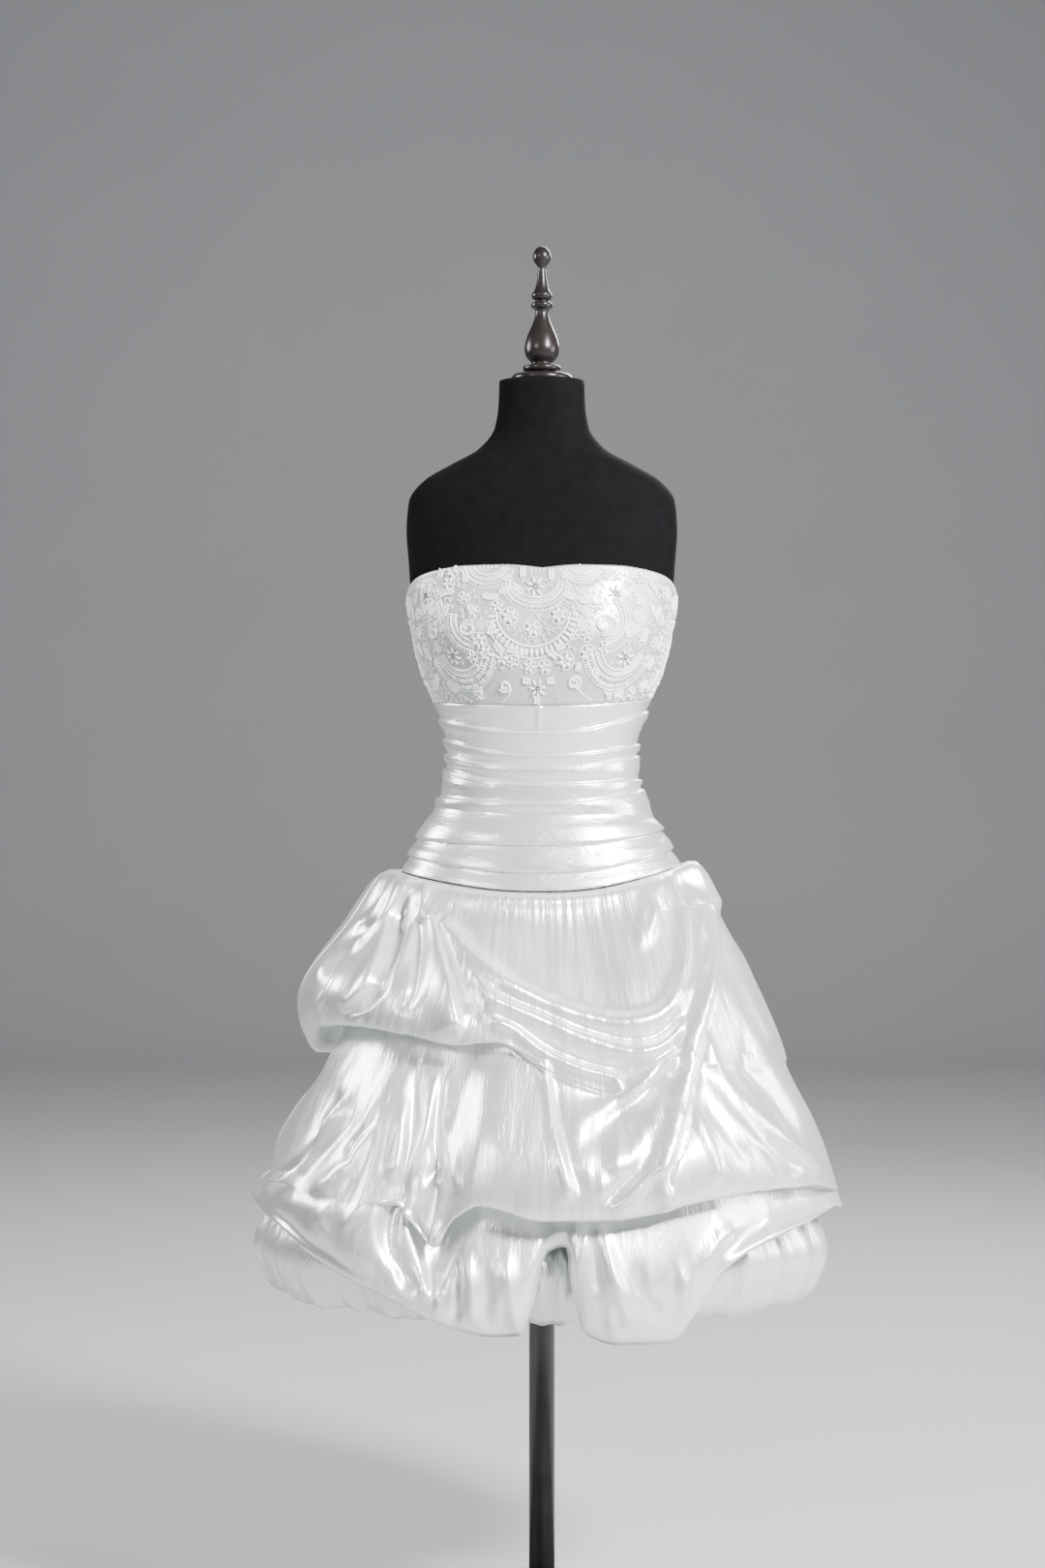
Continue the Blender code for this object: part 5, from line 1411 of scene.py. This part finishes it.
SCROLLS = (
    # s, t and size in mm, where it starts in degrees and how often it turns
    (-53, 1147, 9, 200, 1.4), (43, 1151, 10, 300, 1.5), (76, 1221, 16, 250, 1.7), (-91, 1216, 12, 60, 1.4),
    (125, 1231, 9, 80, 1.4), (-176, 1236, 9, 20, 1.4), (-146, 1213, 9, 100, 1.5), (150, 1180, 9, 210, 1.4),
)
SPRAYS = (
    # s and t of its foot, heading in degrees, length in mm and bend in degrees
    (-106, 1270, 100, 18, 30), (-139, 1276, 80, 14, -30), (-150, 1269, 200, 16, 20),
    (-116, 1261, 190, 20, 20), (-125, 1249, 250, 22, -20), (-94, 1248, 300, 14, 20),
    (-80, 1258, 350, 20, 20), (-40, 1266, 330, 14, -20), (-30, 1276, 80, 12, 20), (14, 1272, 100, 14, -20),
    (26, 1261, 330, 16, 20), (44, 1252, 350, 18, 20), (86, 1272, 60, 16, -20), (116, 1278, 40, 14, 20),
    (119, 1262, 330, 20, 20), (143, 1274, 320, 18, -20), (146, 1250, 300, 20, 20),
    (118, 1249, 350, 16, -20), (108, 1226, 270, 18, 20), (140, 1219, 250, 16, 20),
    (171, 1213, 260, 18, -20), (164, 1185, 250, 16, 20), (187, 1172, 260, 18, -20),
    (167, 1157, 240, 16, 20), (124, 1140, 190, 14, 20), (146, 1149, 20, 14, 20), (66, 1172, 300, 14, 20),
    (49, 1176, 250, 9, 20), (-58, 1201, 300, 14, 20), (-62, 1224, 260, 14, -20), (46, 1228, 280, 14, 20),
    (-104, 1141, 10, 14, -20), (-120, 1146, 190, 14, 20), (-154, 1162, 220, 16, 20),
    (-161, 1178, 120, 14, 20), (-182, 1186, 110, 16, -20), (-182, 1205, 90, 14, 20),
    (-190, 1228, 95, 16, -20), (-186, 1249, 60, 14, 20), (-158, 1243, 200, 12, -20),
    (-204, 1161, 110, 14, 20), (-200, 1142, 100, 12, -20), (-7, 1138, 260, 10, 10),
    (-16, 1150, 160, 10, 20), (4, 1150, 20, 10, -20), (-20, 1188, 205, 12, 20), (4, 1188, 335, 12, -20),
    (-60, 1262, 10, 14, 20), (150, 1236, 30, 14, 20), (-133, 1236, 110, 14, 20), (-30, 1186, 160, 12, 20),
    (14, 1192, 20, 10, 20),
)
BIB_S, BIB_T = -12, 1238  # middle of the large scallop at the centre
STEMS = ((-44, 1144), (-50, 1136), (-62, 1128)), ((50, 1144), (60, 1137), (76, 1130))
print("tables:", len(SCALLOPS), "scallops,", len(ROSETTES), "rosettes,", len(FLOWERS), "beaded flowers")

# %% Working the front
for row in SCALLOPS:
    scallop(*row)
for k, row in enumerate(ROSETTES):
    rosette(*row, turn=23 * k)
for k, row in enumerate(FLOWERS):
    beaded_flower(*row, turn=17 * k)
for row in SCROLLS:
    scroll(*row)
for row in SPRAYS:
    spray(*row)
cord(arc_path(BIB_S, BIB_T, 45, 44, 184, 356), 1.4)
petal_row(BIB_S, BIB_T, 52, 51, 186, 354, 10.5, 5.6, 6.4)
cord(arc_path(BIB_S, BIB_T, 58, 58, 190, 350), 0.9)
for stem in STEMS:
    cord(curve_through(stem, 8), 0.7)
print("front:", len(cords), "cords,", len(petals), "petals and", len(beads), "beads")

# %% Sides and back
SIDE_SCALLOPS = (
    # how far round from the centre front, how far below the top edge, and width, in mm
    (214, 20, 15), (262, 24, 16), (310, 20, 15), (358, 22, 16), (406, 20, 15), (238, 58, 14), (286, 54, 15),
    (334, 56, 14), (382, 52, 15), (426, 50, 11),
)
SIDE_FLOWERS = (222, 1234), (250, 1198), (298, 1184), (346, 1178), (394, 1172), (232, 1160), (272, 1152)
for side in (-1, 1):
    for k, (away, drop, wide) in enumerate(SIDE_SCALLOPS):
        s = side * away
        top = float(top_at(s))
        scallop(s, top - drop + 17, wide - 6, 9 + k % 3, 192 + 4 * (k % 2), 348)
        rosette(s, top - drop + 12 if drop > 30 else top - 9, 9, 31 * k)
        if drop > 30:
            spray(s - 9 * side, top - drop - 14, 250 + 20 * side, 11, 20 * side)
            spray(s + 12, top - drop - 2, 300, 9, 20)
            spray(s - 12, top - drop - 2, 240, 9, -20)
            rosette(s + 2 * side, top - drop - 12, 8, 13 * k)
    for s, t in SIDE_FLOWERS:
        beaded_flower(side * s, t, 12, s)
for s in np.arange(-446, 446, 5.6):
    # a row of petals along the top edge, left out where scallops meet it in front
    if abs(s) > 60 or abs(s + 9) < 6:
        petal(s, float(top_at(s)) - 3.0, 90 + 25 * sin(s), 5.0, 2.8, 1.4)
cord_length = sum(np.linalg.norm(np.diff(path, axis=0), axis=1).sum() for path, _ in cords) * MM
print("all:", len(cords), "cords,", round(cord_length, 1), "m,", len(petals), "petals,", len(beads), "beads")

# %% Leaves that fill the net between the motifs
NET_ROWS, NET_COLUMNS = np.arange(1132, 1300, 7.5), np.arange(-448, 448, 8.0)
BARE_BELOW, BARE_HALF_WIDTH, LEAF_ROOM = 1166, 84, 4.2
leaves = []
worked = [row[:2] for row in petals + beads] + [tuple(place) for path, _ in cords for place in path[::2]]
worked = np.array(worked)
for row, t in enumerate(NET_ROWS):
    for column, s in enumerate(NET_COLUMNS):
        x, y = s + 4 * (row % 2) + 1.6 * sin(5.1 * column + row), t + 1.6 * sin(3.7 * column + 2.3 * row)
        bare = y < BARE_BELOW and abs(x) < BARE_HALF_WIDTH
        if not bare and np.hypot(*(worked - (x, y)).T).min() > LEAF_ROOM:
            for k in range(3):
                angle = 137.5 * (row * 7 + column) + 120 * k
                leaves.append((*out_from(x, y, 2.0, angle), angle, 3.6, 2.0, 2.2))
            beads.append((x, y, 0, 1.5, 1.5, 2.4))
print("leaves:", len(leaves))


# %% Cords wrapped onto the bust
TOP_MARGIN, BOTTOM_MARGIN, STRIP_MARGIN = 0.6, 1.5, 4.5  # the first two in mm, the last in degrees


def clear_of_edges(s, t):
    """True where a piece of lace lies on the satin and off the seams."""
    bearing = bearing_at(s)
    bottom = pleat_height(PLEATS[0], bearing) / MM + BOTTOM_MARGIN
    off_strip = 180 - np.abs(bearing) > STRIP_MARGIN
    return (np.asarray(t) < top_at(s) - TOP_MARGIN) & (np.asarray(t) > bottom) & off_strip


def wrapped_cords(name, drawn, finish):
    """One mesh of all the cords, each half sunk into the satin and cut where it runs off the lace."""
    lines = bpy.data.curves.new(name, "CURVE")
    lines.dimensions = "3D"
    lines.bevel_depth = 1.0
    lines.bevel_resolution = 1
    lines.use_fill_caps = True
    for path, radius in drawn:
        kept = clear_of_edges(path[:, 0], path[:, 1])
        pieces = np.split(np.arange(len(path)), np.nonzero(np.diff(kept.astype(int)))[0] + 1)
        for piece in pieces:
            if len(piece) < 3 or not kept[piece[0]]:
                continue
            spline = lines.splines.new("POLY")
            spline.points.add(len(piece) - 1)
            for point, place in zip(spline.points, on_bust(path[piece], radius * 0.5)):
                point.co = (*place, 1)
                point.radius = radius * MM
    drawn_obj = bpy.data.objects.new(name, lines)
    mesh = bpy.data.meshes.new_from_object(drawn_obj)
    bpy.data.objects.remove(drawn_obj)
    bpy.data.curves.remove(lines)
    obj = bpy.data.objects.new(name, mesh)
    bpy.context.scene.collection.objects.link(obj)
    for face in mesh.polygons:
        face.use_smooth = True
    mesh.materials.clear()
    mesh.materials.append(finish)
    return obj


print("margins:", TOP_MARGIN, BOTTOM_MARGIN, "mm")


# %% Petals, beads and crystals as joined meshes
SINK = 0.22  # share of its height that a petal or bead is sunk into the satin


def template(subdivisions, pointed=0.0):
    """A small closed form 1 across, as arrays of corners and triangles."""
    bm = bmesh.new()
    bmesh.ops.create_icosphere(bm, subdivisions=subdivisions, radius=0.5)
    corners = np.array([v.co for v in bm.verts])
    faces = np.array([[v.index for v in f.verts] for f in bm.faces])
    bm.free()
    corners[:, 1] *= 1 - pointed * (corners[:, 0] + 0.5)
    return corners, faces


def scattered(name, rows, shape, finish):
    """One mesh with the shape at each row: s, t, heading, length, width and height in mm."""
    rows = np.array([row for row in rows if clear_of_edges(row[0], row[1])], float)
    corners, faces = shape
    east, up, out = bust_frames(rows[:, :2])
    turn = np.radians(rows[:, 2])[:, None]
    along = east * np.cos(turn) + up * np.sin(turn)
    across = np.cross(out, along)
    middle = on_bust(rows[:, :2]) + out * (rows[:, 5:6] * (0.5 - SINK) * MM)
    size = rows[:, 3:6] * MM
    places = (middle[:, None] + corners[None, :, 0, None] * (along * size[:, :1])[:, None]
              + corners[None, :, 1, None] * (across * size[:, 1:2])[:, None]
              + corners[None, :, 2, None] * (out * size[:, 2:3])[:, None])
    joined = faces[None] + (np.arange(len(rows)) * len(corners))[:, None, None]
    mesh = bpy.data.meshes.new(name)
    mesh.from_pydata(places.reshape(-1, 3).tolist(), [], joined.reshape(-1, 3).tolist())
    mesh.polygons.foreach_set("use_smooth", [True] * len(mesh.polygons))
    obj = bpy.data.objects.new(name, mesh)
    bpy.context.scene.collection.objects.link(obj)
    mesh.materials.append(finish)
    return obj


print("sunk by", SINK)

# %% Finishes of the lace, and its pieces
lace_thread, lace_shader, place = start_finish("lace_thread", (0.84, 0.85, 0.83), 0.48, Sheen_Weight=0.25)
raise_by(lace_shader, grain(place, 1500), 0.20)
tint(lace_shader, grain(place, 900).between(0.35, 0.65), (0.72, 0.73, 0.71), (0.87, 0.88, 0.86))
glass, glass_shader, place = start_finish("lace_beads", (0.90, 0.90, 0.88), 0.22, Coat_Weight=0.4)
tint(glass_shader, grain(place, 400), (0.84, 0.84, 0.82), (0.92, 0.92, 0.90))
crystal, crystal_shader, place = start_finish("lace_crystals", (0.42, 0.42, 0.40), 0.12, Metallic=0.7)
tint(crystal_shader, grain(place, 500), (0.16, 0.16, 0.15), (0.62, 0.62, 0.60))

for obj in (
    wrapped_cords("lace_cords", cords, lace_thread),
    scattered("lace_petals", petals, template(2, 0.35), lace_thread),
    scattered("lace_leaves", leaves, template(1, 0.35), lace_thread),
    scattered("lace_bead_rows", beads, template(1), glass),
    scattered("lace_crystal_clusters", crystals, template(1), crystal),
):
    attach(obj, "root")
    print(obj.name, sum(len(p.vertices) - 2 for p in obj.data.polygons), "triangles")

# %% [markdown]
# ## Floor
# A sheet of grey paper lies on the floor and bends up into the wall, so that the picture has no hard
# horizon.

# %% Floor and wall
HALF_WIDTH, HALF_DEPTH, FLOOR_SHIFT = 9, 7.5, -0.7
BEND_RADIUS, WALL_HEIGHT = 3.0, 4
BEND_AT = HALF_DEPTH + FLOOR_SHIFT  # the bend starts where the floor ends
bm = bmesh.new()
bmesh.ops.create_grid(bm, x_segments=1, y_segments=1, size=1)
bmesh.ops.scale(bm, vec=(HALF_WIDTH, HALF_DEPTH, 1), verts=bm.verts)
bmesh.ops.translate(bm, vec=(0, FLOOR_SHIFT, 0), verts=bm.verts)
far = [edge for edge in bm.edges if all(v.co.y > 6 for v in edge.verts)]
bmesh.ops.spin(bm, geom=far + list({v for e in far for v in e.verts}), cent=(0, BEND_AT, BEND_RADIUS),
               axis=(1, 0, 0), angle=pi / 2, steps=24)
top = max(v.co.z for v in bm.verts)
lip = [edge for edge in bm.edges if all(v.co.z > top - 1e-4 for v in edge.verts)]
raised = bmesh.ops.extrude_edge_only(bm, edges=lip)["geom"]
rising = [v for v in raised if isinstance(v, bmesh.types.BMVert)]
bmesh.ops.translate(bm, vec=(0, 0, WALL_HEIGHT), verts=rising)
smooth(bm)
studio = finish_mesh("studio_floor", bm)
paper, paper_shader, place = start_finish("studio_paper", (0.36, 0.37, 0.385), 0.9)
tint(paper_shader, grain(place, 2), (0.35, 0.36, 0.375), (0.37, 0.38, 0.395))
studio.data.materials.append(paper)
print("studio:", len(studio.data.polygons), "faces")
